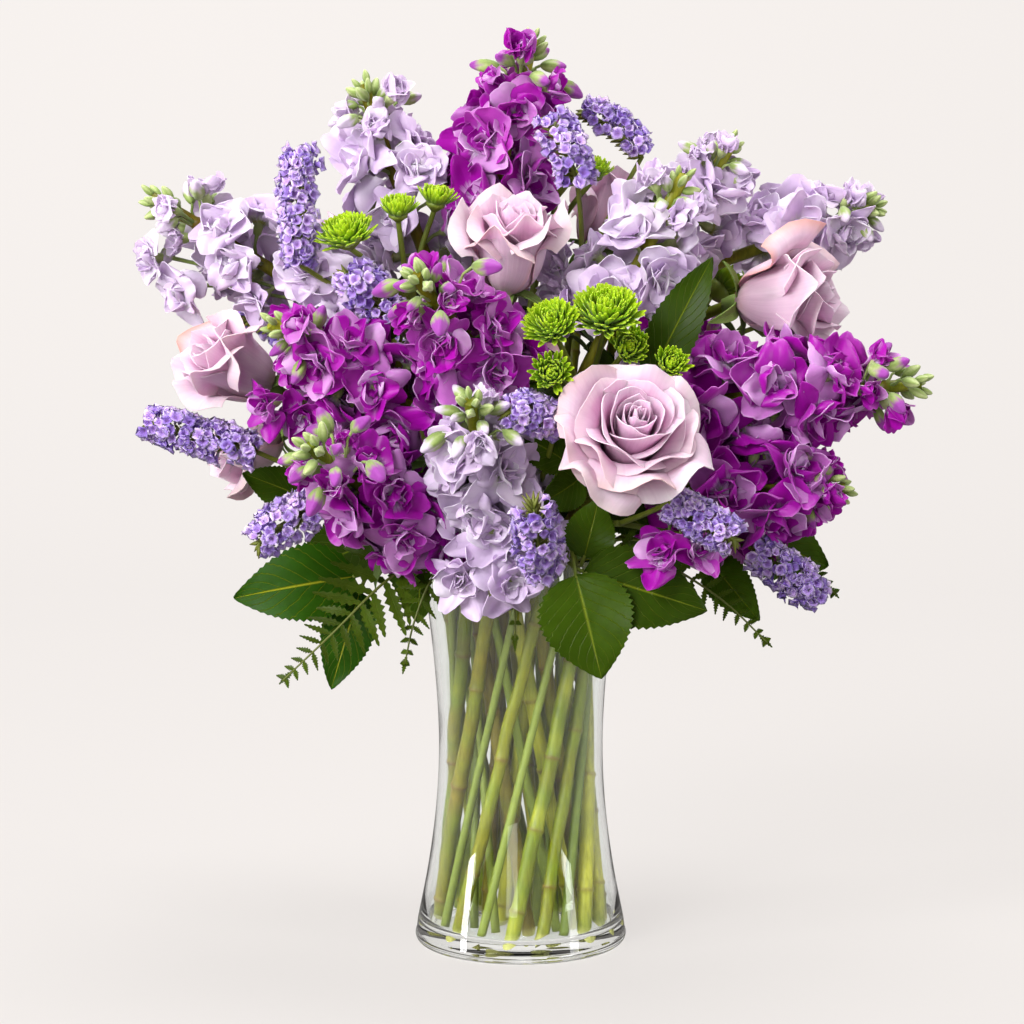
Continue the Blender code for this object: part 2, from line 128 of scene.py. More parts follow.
class Nodes:
    """Adds nodes to a tree. An input is a plain value or the output it is linked from, and what comes back
    is the new node's output."""

    def __init__(self, tree):
        self.tree = tree

    def feed(self, socket, value):
        if isinstance(value, bpy.types.NodeSocket):
            self.tree.links.new(value, socket)
        else:
            socket.default_value = (*value, 1) if socket.type == "RGBA" else value

    def add(self, kind, inputs=None, out=0, **settings):
        node = self.tree.nodes.new("ShaderNode" + kind)
        for key, value in settings.items():
            setattr(node, key, value)
        for key, value in (inputs or {}).items():
            self.feed(node.inputs[key], value)
        return node.outputs[out]

    def sums(self, kind, *values):
        return self.add("Math", dict(enumerate(values)), operation=kind)

    def times(self, *values):
        return self.sums("MULTIPLY", *values)

    def plus_times(self, *values):
        """The first value times the second, plus the third."""
        return self.sums("MULTIPLY_ADD", *values)

    def layer(self, name):
        """What the mesh's float layer says."""
        return self.add("Attribute", out="Fac", attribute_name=name)

    def uv(self):
        """The sheet's own coordinates: across and along from 0 to 1, and distance from the middle line."""
        split = self.add("SeparateXYZ", {0: self.add("TexCoord", out="UV")}).node.outputs
        return split["X"], split["Y"], self.sums("ABSOLUTE", self.plus_times(split["X"], 2, -1))

    def noise(self, scale, detail=2, place=None):
        place = self.add("TexCoord", out="Object") if place is None else place
        return self.add("TexNoise", {"Vector": place, "Scale": scale, "Detail": detail}, "Fac")

    def ramp(self, value, *stops):
        """Colours over value, from (place, colour) stops."""
        colour = self.add("ValToRGB", {"Fac": value}, "Color")
        elements = colour.node.color_ramp.elements
        while len(elements) < len(stops):
            elements.new(0.5)
        for element, (place, stop) in zip(elements, stops):
            element.position = place
            element.color = (*stop, 1)
        return colour

    def blend(self, share, below, above, kind="MIX"):
        return self.add("Mix", {0: share, 6: below, 7: above}, 2, data_type="RGBA", blend_type=kind)

    def tint(self, share, skin, by):
        return self.blend(share, skin, by, "MULTIPLY")

    def spread(self, value, low, high):
        """0 to 1 spread over low to high."""
        return self.add("MapRange", {"Value": value, "To Min": low, "To Max": high}, "Result")

    def step(self, value, low, high):
        """0 below low and 1 above high, with a soft step between."""
        return self.add("MapRange", {"Value": value, "From Min": low, "From Max": high}, "Result",
                        interpolation_type="SMOOTHSTEP")

    def bump(self, height, distance, strength=1):
        return self.add("Bump", {"Height": height, "Distance": distance, "Strength": strength}, "Normal")

    def skin(self, inputs):
        """Sets the material's own shader."""
        for key, value in inputs.items():
            self.feed(self.tree.nodes["Principled BSDF"].inputs[key], value)


def new_material(name):
    material = bpy.data.materials.new(name)
    material.use_nodes = True
    return material, Nodes(material.node_tree)


flanks = [(radius * VASE_FOOT, height * VASE_HEIGHT) for height, radius in VASE_FLANKS]
outside = [tuple(point) for point in smooth_through(flanks, 6)]
lip = arc((outside[-1][0] - VASE_WALL / 2, outside[-1][1]), VASE_WALL / 2, 0, 180, 8)
inside = [(radius - VASE_WALL, height) for radius, height in reversed(outside) if height > CORNER_TOP]
foot_ring = arc((VASE_FOOT - FOOT_ROUNDING, FOOT_ROUNDING), FOOT_ROUNDING, -90, 30, 10)
corner = [(VASE_FOOT * 0.957 - VASE_WALL, VASE_FLOOR + CORNER_RADIUS)]
corner += arc((corner[0][0] - CORNER_RADIUS, corner[0][1]), CORNER_RADIUS, -5, -90, 8)
floor_dome = [(radius, VASE_FLOOR + 0.9 * (1 - radius / 42)) for radius in (36, 28, 20, 12, 5, 0)]
punt = [(0, 1.8), (10, 1.7), (20, 1.4), (30, 0.9), (38, 0.25), (41, 0)]  # the hollow under the foot
vase = bmesh.new()
lathe(vase, [*punt, *foot_ring, *outside, *lip[1:], *inside[1:], *corner, *floor_dome], VASE_SEGMENTS)

# the glass bends what is seen through it, lets lamplight reach the stems, and has a slow wave in its surface
soda_glass, nodes = new_material("soda_glass")
wave = nodes.noise(24, 1)
nodes.skin({"Base Color": GLASS_TINT, "Metallic": 0, "Transmission Weight": 1, "IOR": 1.5,
            "Specular IOR Level": 0.12, "Roughness": nodes.spread(wave, 0, 0.0015),
            "Normal": nodes.bump(wave, 0.0003)})
solid = nodes.tree.nodes["Principled BSDF"].outputs["BSDF"]
open_way = nodes.add("BsdfTransparent", {"Color": GLASS_TINT})
mix = nodes.add("MixShader", {0: nodes.add("LightPath", out="Is Shadow Ray"), 1: solid, 2: open_way})
nodes.feed(nodes.tree.nodes["Material Output"].inputs["Surface"], mix)
add_piece("clear_glass_vase", as_data("clear_glass_vase", vase, True), soda_glass, "glass", "vase")


# --------------------------------------------------------------------------------------------------------
# The cut stems
# Rose and stock stems, cut slanting with a knife and stood on the vase's floor. Each has swollen rings
# where leaves were stripped off, and leans across its neighbours.

STEM_SIDES = 12
noise.seed_set(1)  # fixes the slow wander of the stems
STEM_FIELD, CUT_DEPTH = 0.046, 0.004  # every foot stands within this radius and height, in metres
ROSE_STEM, STOCK_STEM = 3.1, 3.5  # radii
ROSE_JOINTS, STOCK_JOINTS = (42, 84), (36, 70)  # least and most from one joint to the next
BOW = 1.2  # how far a stem wanders from its line
CUT_SLANT = 1.15
STEP = 4  # between the points of a stem's path
SPIKE_RINGS = 8  # a stock's CAD solid ends in this many rings of flower spike


def new_mesh(*layers):
    mesh = bmesh.new()
    for key in layers:
        mesh.verts.layers.float.new(key)
    return mesh


def read_rings(node):
    """The centres and radii of a round CAD stem, ring by ring from its foot."""
    mesh = bmesh.new()
    mesh.from_mesh(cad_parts[node].data)
    bmesh.ops.remove_doubles(mesh, verts=mesh.verts, dist=SAME_PLACE)
    mesh.verts.index_update()
    lowest = min(vert.co.z for vert in mesh.verts if vert.co.xy.length < STEM_FIELD)
    foot = [face for face in mesh.faces if face.normal.z < -0.9
            and face.calc_center_median().xy.length < STEM_FIELD
            and face.calc_center_median().z < lowest + CUT_DEPTH]
    ring = sorted({vert for face in foot for vert in face.verts}, key=lambda vert: vert.index)
    seen, centres, radii = set(), [], []
    while ring:
        centre = sum((vert.co for vert in ring), Vector()) / len(ring)
        centres.append(centre / MM)
        radii.append(sum((vert.co - centre).length for vert in ring) / len(ring) / MM)
        seen.update(ring)
        above = {edge.other_vert(vert) for vert in ring for edge in vert.link_edges} - seen
        ring = sorted(above, key=lambda vert: vert.index)
    mesh.free()
    return centres, radii


def stand(point, way, spin=0, scale=1):
    """The matrix that stands a shape on point, in millimetres, with its +Z along way, spun about it."""
    return (Matrix.Translation(point * MM) @ way.to_track_quat("Z", "Y").to_matrix().to_4x4()
            @ Matrix.Rotation(spin, 4, "Z") @ Matrix.Scale(scale, 4))


def sweep(mesh, path, radii, sides, **marks):
    """Extrudes a ring along path, in millimetres, and closes both ends. marks are the rings' layer values."""
    heading = (path[1] - path[0]).normalized()
    ring = bmesh.ops.create_circle(mesh, cap_ends=True, segments=sides, radius=radii[0] * MM,
                                   matrix=stand(path[0], heading))["verts"]
    edges = list(dict.fromkeys(edge for vert in ring for edge in vert.link_edges))
    groups = [ring]
    for step in range(1, len(path)):
        grown = bmesh.ops.extrude_edge_only(mesh, edges=edges)["geom"]
        verts = [item for item in grown if isinstance(item, bmesh.types.BMVert)]
        edges = [edge for edge in grown if isinstance(edge, bmesh.types.BMEdge)
                 and all(vert in verts for vert in edge.verts)]
        ahead = (path[min(step + 1, len(path) - 1)] - path[step - 1]).normalized()
        bend = heading.rotation_difference(ahead).to_matrix()
        heading = ahead
        grow = radii[step] / radii[step - 1]
        for vert in verts:
            vert.co = path[step] * MM + bend @ (vert.co - path[step - 1] * MM) * grow
        groups.append(verts)
    bmesh.ops.contextual_create(mesh, geom=edges)
    mark(mesh, groups, marks)
    return groups


def length_of(path):
    return sum((b - a).length for a, b in zip(path, path[1:]))


def along(path, share):
    """The point and heading at a share of a path's length."""
    left = share * length_of(path)
    for a, b in zip(path, path[1:]):
        length = (b - a).length
        if left <= length:
            return a.lerp(b, left / length), (b - a).normalized()
        left -= length
    return path[-1], (path[-1] - path[-2]).normalized()


def even_path(points):
    """Points about a STEP apart on a smooth curve through points."""
    fine = smooth_through(points, 8)
    count = max(2, round(length_of(fine) / STEP))
    return [along(fine, step / count)[0] for step in range(count + 1)]


def grow_stem(name, points, radius, joint_gap, rng):
    """A stem through points: gently crooked, swollen at its joints, tapering upwards and cut slanting."""
    path = even_path(points)
    length = STEP * (len(path) - 1)
    joints, reach = [], rng.uniform(12, 34)
    while reach < length:
        joints.append(reach)
        reach += rng.uniform(*joint_gap)
    drift = Vector((rng.uniform(0, 99), rng.uniform(0, 99), 0))
    tone = rng.random()
    crooked, radii, marks = [], [], {"joint": [], "cut": [], "tone": tone, "rise": []}
    stations = sorted({STEP * step for step in range(len(path))}
                      | {place + offset for place in joints for offset in (-1.6, -0.5, 0.5, 1.6)
                         if 2 < place + offset < length - 2})
    for station in stations:
        wander = noise.noise_vector(drift + Vector((0, 0, station / 30))) * BOW
        ends = min(1, station / 20, (length - station) / 20)
        swell = max((math.exp(-((station - joint) / 1.3) ** 2) for joint in joints), default=0)
        crooked.append(along(path, min(1, station / length))[0] + wander * ends)
        radii.append(radius * (1.06 - 0.16 * station / length) * (1 + 0.2 * swell
                     + 0.05 * noise.noise(drift + Vector((station / 9, 3, 0)))))
        marks["joint"].append(swell)
        marks["cut"].append(max(0, 1 - station / 3))
        marks["rise"].append(station / 100)
    mesh = new_mesh(*marks)
    foot = sweep(mesh, crooked, radii, STEM_SIDES, **marks)[0]
    slant = Vector((rng.uniform(-1, 1), rng.uniform(-1, 1), 0)).normalized() * CUT_SLANT
    for vert in foot:
        lift = (vert.co - crooked[0] * MM).dot(slant)
        vert.co += (crooked[1] - crooked[0]).normalized() * lift
    data = as_data(name, mesh, True)
    data.set_sharp_from_angle(angle=math.radians(60))
    return data, crooked


def stem_skin(name, young, old, brown, pale):
    """Stem skin: streaked lengthwise, browner at its joints, pale and wet-looking where it was cut."""
    material, nodes = new_material(name)
    place = nodes.add("TexCoord", out="Object")
    grain = nodes.noise(1, 3, nodes.add("Mapping", {"Vector": place, "Scale": (900, 900, 60)}))
    patches = nodes.noise(35)
    tone = nodes.sums("ADD", nodes.layer("tone"), nodes.times(nodes.sums("SUBTRACT", patches, 0.5), 1.4))
    skin = nodes.ramp(tone, (0, young), (0.55, old), (1, brown))
    skin = nodes.tint(0.6, skin, nodes.ramp(grain, (0.3, (0.4, 0.42, 0.2)), (0.7, (1, 1, 0.75))))
    ringed = nodes.times(nodes.sums("POWER", nodes.layer("joint"), 1.8), nodes.plus_times(patches, 1.5, -0.1))
    skin = nodes.blend(ringed, skin, (0.13, 0.06, 0.012))
    skin = nodes.blend(nodes.sums("MINIMUM", nodes.layer("cut"), 0.8), skin, pale)
    nodes.skin({"Base Color": skin, "Roughness": nodes.spread(grain, 0.28, 0.55),
                "Normal": nodes.bump(grain, 0.0003, 0.6), "Specular IOR Level": 0.35})
    return material


ROSE_WOOD = stem_skin("rose_stem_skin", (0.16, 0.21, 0.003), (0.2, 0.18, 0.004), (0.15, 0.09, 0.005),
                      (0.4, 0.38, 0.12))
STOCK_SKIN = stem_skin("stock_stem_skin", (0.46, 0.43, 0.035), (0.14, 0.18, 0.003), (0.2, 0.15, 0.005),
                       (0.44, 0.43, 0.15))

plants = sorted(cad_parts)
rose_names = [name[:-5] for name in plants if name.startswith("rose_") and name.endswith("_stem")]
stock_names = [name for name in plants if "stock" in name]
stem_paths, spike_rings = {}, {}
for index, name in enumerate(rose_names):
    centres, _ = read_rings(f"{name}_stem")
    rng = random.Random(100 + index)
    data, stem_paths[name] = grow_stem(f"{name}_cane", centres, ROSE_STEM, ROSE_JOINTS, rng)
    add_piece(f"{name}_cane", data, ROSE_WOOD, "stem", f"{name}_stem")
for index, name in enumerate(stock_names):
    centres, radii = read_rings(name)
    spike_rings[name] = centres[-SPIKE_RINGS:], radii[-SPIKE_RINGS:]
    points = centres[:-SPIKE_RINGS] + [centres[-1]]
    rng = random.Random(200 + index)
    data, stem_paths[name] = grow_stem(f"{name}_cane", points, STOCK_STEM, STOCK_JOINTS, rng)
    add_piece(f"{name}_cane", data, STOCK_SKIN, "stem")


# --------------------------------------------------------------------------------------------------------
# The roses
# Cut hybrid tea roses, each a spiral of thin petals on a green hip with five sepals. The front one is
# fully open, and the others are half open goblets.

ROSE_LOOKS = {  # size, openness, how many petals
    "rose_front_right": (41.5, 0.9, 34), "rose_top": (40, 0.2, 24), "rose_right": (43, 0.4, 24),
    "rose_left": (38, 0.3, 20), "rose_left_low": (32, 0.1, 16), "rose_back_left": (36, 0.25, 18),
    "rose_back_right": (36, 0.25, 18), "rose_back": (37, 0.8, 24),
}
HIP_PROFILE = ((-7, 3.2), (-5.5, 3.6), (-3, 4.6), (-0.5, 4.9), (1.5, 4.4), (3, 3.0), (3.6, 1.0))
USUAL_ROSE = 40  # the size that the hip and the petals' feet are drawn for
GOLDEN_TURN = math.radians(137.5)  # from one petal or flower to the next on its spiral
ROSE_PETAL_THICKNESS, LEAF_THICKNESS = 0.45, 0.5
SEPALS = 5
WHITE, BLACK = (1, 1, 1), (0, 0, 0)


def lerp(low, high, share):
    return low + (high - low) * share


def smooth_step(low, high, value):
    share = min(1, max(0, (value - low) / (high - low)))
    return share * share * (3 - 2 * share)


def petal(mesh, across, rows, column, **marks):
    """A sheet of across by rows squares. column(u) gives the rows + 1 points, in millimetres, of the line at
    u from -1 to 1. Its UV is (u, v) in 0 to 1, and marks fill the mesh's float layers."""
    sheet = bmesh.ops.create_grid(mesh, x_segments=across, y_segments=rows, size=1)["verts"]
    uv = mesh.loops.layers.uv.verify()
    for face in dict.fromkeys(face for vert in sheet for face in vert.link_faces):
        for loop in face.loops:
            loop[uv].uv = (loop.vert.co.x / 2 + 0.5, loop.vert.co.y / 2 + 0.5)
    columns = [column(2 * index / across - 1) for index in range(across + 1)]
    for vert in sheet:
        vert.co = columns[round((vert.co.x + 1) / 2 * across)][round((vert.co.y + 1) / 2 * rows)] * MM
    mark(mesh, [sheet], marks)


def thicken(data, thickness, crisp=62):
    """The same sheets as closed thin shells, shaded smooth, with edges past crisp degrees left crisp."""
    holder = bpy.data.objects.new("thickening", data)
    bpy.context.scene.collection.objects.link(holder)
    solidify = holder.modifiers.new("thickness", "SOLIDIFY")
    solidify.thickness = thickness * MM
    solidify.offset = 0
    bpy.context.view_layer.update()
    thick = bpy.data.meshes.new_from_object(holder.evaluated_get(bpy.context.evaluated_depsgraph_get()))
    bpy.data.objects.remove(holder)
    bpy.data.meshes.remove(data)
    thick.shade_smooth()
    thick.set_sharp_from_angle(angle=math.radians(crisp))
    return thick


def add_sheets(name, mesh, thickness, material, slot, *stands_for):
    """Adds open sheets as thin shells."""
    add_piece(name, thicken(as_data(name, mesh), thickness), material, slot, *stands_for)


def add_green(name, mesh, material):
    """Adds a plant's closed green parts."""
    add_piece(name, as_data(name, mesh, True), material, "stem")


def rose_petal(mesh, turn, age, size, openness, rng):
    """One petal. age is 0 for the innermost and 1 for the outermost. Its middle line rises from the hip,
    swells and rolls out at the rim, most at the corners, which leaves a point between them."""
    length = size * lerp(1.1, lerp(1.32, 1.2, openness), age) * rng.uniform(0.96, 1.04)
    reach = math.radians(lerp(165, 62, age ** 0.5))
    flare = math.radians(lerp(9, lerp(62, 72, openness), age ** 0.72))
    lean = math.radians(lerp(-5, lerp(3, 34, openness), age ** 1.1) + rng.uniform(-3, 5) * age)
    roll = math.radians(lerp(2, lerp(120, 112, openness), smooth_step(0.12, 1, age))) * rng.uniform(0.7, 1.2)
    roll_start = lerp(0.84, lerp(0.72, 0.6, openness), age)
    foot = lerp(0.6, 4.2, age) * size / USUAL_ROSE
    slack = lerp(1.0, 0.62, age)
    spiral = lerp(0.13, 0.07, age)
    tip, slope = rng.uniform(-0.2, 0.2), rng.uniform(-0.1, 0.1)
    phase, place = rng.uniform(0, math.tau), rng.uniform(0, 50)
    across, rows = 16, 14

    def column(u):
        off_tip = abs(u - tip)
        curl = roll * (0.2 + 0.8 * smooth_step(0.02, 0.55, off_tip))
        tall = length * (1 - 0.05 * abs(u) - lerp(0.26, 0.23, age) * abs(u) ** 2.7 + slope * u
                         + 0.05 * math.exp(-(off_tip / 0.13) ** 2))
        radius, height, points = foot, 0, []
        for row in range(rows + 1):
            v = row / rows
            angle = lerp(flare, lean, smooth_step(0, 0.45, v)) + curl * smooth_step(roll_start, 1.02, v)
            if row:
                radius += tall / rows * math.sin(angle)
                height += tall / rows * math.cos(angle)
            wrap = u * reach * lerp(0.42, 1, smooth_step(0, 0.5, v))
            wrap *= 1 - 0.24 * age * smooth_step(0.68, 1, v)
            dent = noise.noise(Vector((2.2 * u, 2.2 * v, place))) * age * size * 0.07 * v
            out = max(0.2, radius * (1 + spiral * u) + dent + 0.7 * age * v ** 5 * math.sin(6 * u + phase))
            ahead = out * (1 - (1 - math.cos(slack * wrap)) / slack)
            aside = out * math.sin(slack * wrap) / slack
            points.append(Vector((ahead * math.cos(turn) - aside * math.sin(turn),
                                  ahead * math.sin(turn) + aside * math.cos(turn), height + dent * 0.4)))
        return points

    petal(mesh, across, rows, column, age=age, tone=rng.random())


def rose_bloom(base, axis, size, openness, petals, rng):
    """All the petals of a bloom, on a spiral, standing on base along axis."""
    mesh = new_mesh("age", "tone")
    start = rng.uniform(0, math.tau)
    for index in range(petals):
        age = (index / (petals - 1)) ** 1.2
        turn = start + index * GOLDEN_TURN + rng.uniform(-0.12, 0.12)
        rose_petal(mesh, turn, age, size, openness, rng)
    bmesh.ops.transform(mesh, matrix=stand(base, axis), verts=mesh.verts)
    return mesh


petal_streaks = bpy.data.node_groups.new("petal_streaks", "ShaderNodeTree")  # fine lines and soft mottling
for way, names in (("INPUT", ("Lines",)), ("OUTPUT", ("Streaks", "Mottle"))):
    for name in names:
        petal_streaks.interface.new_socket(name, in_out=way, socket_type="NodeSocketFloat")
petal_streaks.interface.items_tree["Lines"].default_value = 30
nodes = Nodes(petal_streaks)
lines = petal_streaks.nodes.new("NodeGroupInput").outputs["Lines"]
split = nodes.add("SeparateXYZ", {0: nodes.add("TexCoord", out="UV")}).node.outputs
lengthwise = nodes.add("CombineXYZ", {"X": nodes.times(split["X"], lines), "Y": split["Y"]})
out = petal_streaks.nodes.new("NodeGroupOutput").inputs
nodes.feed(out["Streaks"], nodes.noise(1, 2, lengthwise))
nodes.feed(out["Mottle"], nodes.noise(90, 3))


def petal_lines(nodes, lines):
    """The streaks of a petal with about that many lines across it, and its mottling."""
    streaks = nodes.add("Group", {"Lines": lines}, "Streaks", node_tree=petal_streaks)
    return streaks, streaks.node.outputs["Mottle"]


def petal_finish(nodes, skin, streaks, mottle, roughness, glow, glow_radius, bump_height):
    """What all petals share: satin skin, light soaking through, and fine ribs."""
    nodes.skin({"Base Color": skin, "Roughness": nodes.spread(mottle, roughness - 0.08, roughness + 0.12),
                "Normal": nodes.bump(streaks, bump_height, 0.5), "Subsurface Weight": glow,
                "Subsurface Radius": glow_radius, "Subsurface Scale": 0.003, "Sheen Weight": 0.12,
                "Sheen Roughness": 0.4, "Specular IOR Level": 0.35})


# pale lavender pink: deeper in the heart and at each petal's foot, partly the rose's own colour and partly
# painted shade where the petals close in; lighter at the rim, partly its own paler edge and partly a painted
# highlight; and peach on the oldest petals' edges
ROSE_PETALS, nodes = new_material("rose_petals")
streaks, mottle = petal_lines(nodes, 34)
_, v, off_middle = nodes.uv()
age, tone = nodes.layer("age"), nodes.layer("tone")
# darker towards each petal's foot, partly painted shade, and lighter at the rim, partly a painted highlight
young = nodes.ramp(v, (0, (0.46, 0.15, 0.33)), (0.45, (0.62, 0.30, 0.49)), (0.85, (0.74, 0.47, 0.64)),
                   (0.985, (0.83, 0.63, 0.75)))
old = nodes.ramp(v, (0, (0.58, 0.42, 0.36)), (0.3, (0.72, 0.5, 0.58)), (0.85, (0.78, 0.57, 0.67)),
                 (0.985, (0.88, 0.74, 0.79)))
skin = nodes.blend(nodes.sums("POWER", age, 2), young, old)
skin = nodes.tint(1, skin, nodes.ramp(mottle, (0.3, (0.93, 0.9, 0.93)), (0.7, WHITE)))
skin = nodes.tint(0.6, skin, nodes.ramp(streaks, (0.35, (0.9, 0.84, 0.9)), (0.65, WHITE)))
rim = nodes.ramp(nodes.sums("MAXIMUM", v, off_middle), (0.85, BLACK), (1, WHITE))
aged = nodes.times(nodes.sums("POWER", age, 4), tone)
skin = nodes.blend(nodes.times(rim, nodes.times(aged, 1.1)), skin, (0.78, 0.36, 0.3))
petal_finish(nodes, skin, streaks, mottle, 0.5, 0.35, (1.0, 0.55, 0.75), 0.00025)


def leaf_green(name, skin_colour, vein_colour, veins, gloss):
    """Leaf skin with a pale midrib and side veins that slant to the margin."""
    material, nodes = new_material(name)
    _, v, off_middle = nodes.uv()
    midrib = nodes.ramp(off_middle, (0, WHITE), (0.045, BLACK))
    patches = nodes.noise(120, 4)
    slant = nodes.plus_times(patches, 0.045, nodes.plus_times(off_middle, -0.35, v))
    side = nodes.ramp(nodes.sums("PINGPONG", nodes.times(slant, veins), 0.5), (0, WHITE), (0.06, BLACK))
    skin = nodes.ramp(nodes.plus_times(nodes.layer("tone"), 0.5, nodes.times(patches, 0.5)),
                      (0.1, tuple(channel * 0.55 for channel in skin_colour)), (0.5, skin_colour),
                      (0.95, tuple(min(1, channel * 1.7) for channel in skin_colour)))
    skin = nodes.blend(nodes.times(side, 0.2), skin, vein_colour)
    skin = nodes.blend(nodes.times(midrib, 0.8), skin, vein_colour)
    relief = nodes.sums("ADD", nodes.times(side, -0.6), nodes.plus_times(midrib, -1, patches))
    nodes.skin({"Base Color": skin, "Roughness": nodes.spread(patches, gloss, gloss + 0.25),
                "Normal": nodes.bump(relief, 0.0005, 0.7), "Subsurface Weight": 0.15,
                "Subsurface Radius": (0.4, 1.0, 0.2), "Subsurface Scale": 0.002, "Specular IOR Level": 0.11})
    return material


ROSE_LEAF = leaf_green("rose_leaf", (0.031, 0.062, 0.0012), (0.18, 0.22, 0.012), 9, 0.26)
SEPAL_GREEN = leaf_green("sepal", (0.2, 0.3, 0.07), (0.4, 0.5, 0.2), 5, 0.4)


def strap(mesh, base, heading, facing, length, half_width, outline, bend, across, rows, fold, tone,
          teeth=None, ripple=0, phase=0):
    """A leaf-like sheet from base along heading, bending by bend degrees away from facing, its half width at
    each v given by outline, folded along its middle by fold."""
    heading = heading.normalized()
    side = heading.cross(facing).normalized()
    up = side.cross(heading).normalized()

    def column(u):
        points, spine = [], base.copy()
        for row in range(rows + 1):
            v = row / rows
            angle = math.radians(bend) * v
            lift = up * math.cos(angle) + heading * math.sin(angle)
            if row:
                spine = spine + (heading * math.cos(angle) - up * math.sin(angle)) * (length / rows)
            width = half_width * outline(v)
            if teeth:
                width *= 1 + teeth(v) * abs(u) ** 3
            wave = ripple * abs(u) ** 1.5 * math.sin(9 * v + phase + (1.3 if u > 0 else 0))
            points.append(spine + side * (u * width) + lift * (abs(u) * width * fold + wave))
        return points

    petal(mesh, across, rows, column, tone=tone)


def sepal_outline(v):
    return math.sin(math.pi * min(1, 0.25 + 0.75 * v)) ** 0.8 + 0.02


def sepals_and_hip(name, base, axis, size, rng):
    """The green hip under a bloom, and its five sepals, bent back."""
    mesh = new_mesh("tone")
    for index in range(SEPALS):
        turn = Matrix.Rotation(math.radians(360 / SEPALS * index) + rng.uniform(-0.2, 0.2), 3, axis)
        out = turn @ axis.orthogonal().normalized()
        strap(mesh, base + out * 2.2 - axis * 0.6, (out * 1.0 + axis * 0.55).normalized(), axis,
              size * rng.uniform(0.5, 0.66), size * 0.085, sepal_outline, rng.uniform(35, 110), 4, 10,
              fold=0.25, tone=rng.random())
    data = thicken(as_data(name, mesh), LEAF_THICKNESS)
    mesh = bmesh.new()
    mesh.from_mesh(data)
    bpy.data.meshes.remove(data)
    sweep(mesh, [base + axis * height * size / USUAL_ROSE for height, _ in HIP_PROFILE],
          [radius * size / USUAL_ROSE for _, radius in HIP_PROFILE], 12, tone=0.4)
    return mesh


for index, name in enumerate(rose_names):
    rng = random.Random(300 + index)
    size, openness, petals = ROSE_LOOKS[name]
    path = stem_paths[name]
    axis = (path[-1] - path[-2]).normalized()
    base = path[-1] + axis * 0.5
    add_sheets(f"{name}_petals", rose_bloom(base, axis, size, openness, petals, rng), ROSE_PETAL_THICKNESS,
               ROSE_PETALS, "rose_petal", f"{name}_bloom")
    sepals = sepals_and_hip(f"{name}_sepals", base, axis, size, rng)
    add_piece(f"{name}_sepals", as_data(f"{name}_sepals", sepals, True), SEPAL_GREEN, "leaf")


# --------------------------------------------------------------------------------------------------------
# The stock
# Spikes of double stock, purple or pale lilac. Each floret is a soft rosette of thin clawed petals in a
# green calyx, held out from the stem on its own short stalk. The tip of each spike is still in bud.

# whorls of a floret, outermost first: how many petals, length, half width, spread in degrees
STOCK_WHORLS = ((5, 19.5, 8.8, 94), (5, 17, 8.2, 70), (4, 13.5, 7.0, 48), (4, 10.5, 5.4, 26), (3, 8, 4.2, 8))
STOCK_PETAL_THICKNESS = 0.3
BUD_PROFILE = ((0, 0.8), (0.9, 1.7), (2.6, 2.5), (5.0, 2.9), (7.6, 2.7), (10.0, 2.0), (11.6, 1.3),
               (12.4, 0.5))  # height and radius
FLORET_GAP = 7.8  # along a spike
USUAL_BUDS = 13
STALK_AND_CALYX = (1.1, 0.9, 0.9, 1.2, 2.3, 2.7, 2.2)  # radii from the stem to the mouth of a calyx
HALF_OPEN_CALYX = (1.1, 0.9, 0.9, 1.1, 2.1, 2.9, 2.5)
CALYX_RISE = (0.1, 0.2, 0.3, 0.4, 0.5, 0.8, 1)
BUD_SPRAYS = {  # how much larger the open bud sprays are than usual
    "purple_stock_low_left": 1.45, "purple_stock_centre": 1.35, "purple_stock_right": 1.3,
    "lilac_stock_front": 1.2, "lilac_stock_left": 1.25, "lilac_stock_top_left": 1.2, "purple_stock_top": 1.2,
}
WIDE_FLORETS = {"purple_stock_low_right": 1.22, "purple_stock_right": 1.1, "lilac_stock_front": 1.08}
HANGING_FLORETS = {  # old florets low on long stalks: place, heading and scale
    "purple_stock_left": (((-122, -76, 284), (-0.7, -0.6, -0.2), 0.8),
                          ((-106, -70, 279), (-0.2, -1, -0.3), 0.9)),
    "lilac_stock_left": (((-183, -22, 352), (-0.9, -0.5, -0.1), 0.75),
                         ((-168, -24, 336), (-0.6, -0.8, -0.4), 0.95)),
    "lilac_stock_top_right": (((20, -14, 348), (-0.6, -0.8, 0.3), 0.85),
                              ((18, -20, 332), (-0.7, -0.7, -0.1), 0.8)),
    "purple_stock_low_right": (((66, -108, 215), (-0.4, -1, 0.5), 0.85),
                               ((84, -102, 216), (0.5, -1, 0.6), 0.8),
                               ((120, -52, 256), (0.1, -1, 0.1), 0.9)),
    "lilac_stock_front": (((-29, -82, 200), (-0.4, -1, -0.3), 0.95), ((-6, -88, 199), (0.3, -1, -0.3), 1.05),
                          ((-14, -90, 224), (0, -1, 0), 1.1), ((12, -84, 216), (0.6, -1, 0), 0.85)),
}


def place_copy(mesh, shape, matrix, **marks):
    """Adds a placed copy of a finished shape to mesh."""
    copy = shape.copy()
    copy.transform(matrix)
    first = len(mesh.verts)
    mesh.from_mesh(copy)
    bpy.data.meshes.remove(copy)
    if marks:
        mesh.verts.ensure_lookup_table()
        mark(mesh, [mesh.verts[first:]], marks)


def bezier(start, start_pull, end_pull, end, steps):
    """Points along a Bezier curve, ends included."""
    shares = [step / steps for step in range(steps + 1)]
    return [start * (1 - t) ** 3 + start_pull * 3 * (1 - t) ** 2 * t + end_pull * 3 * (1 - t) * t * t
            + end * t ** 3 for t in shares]


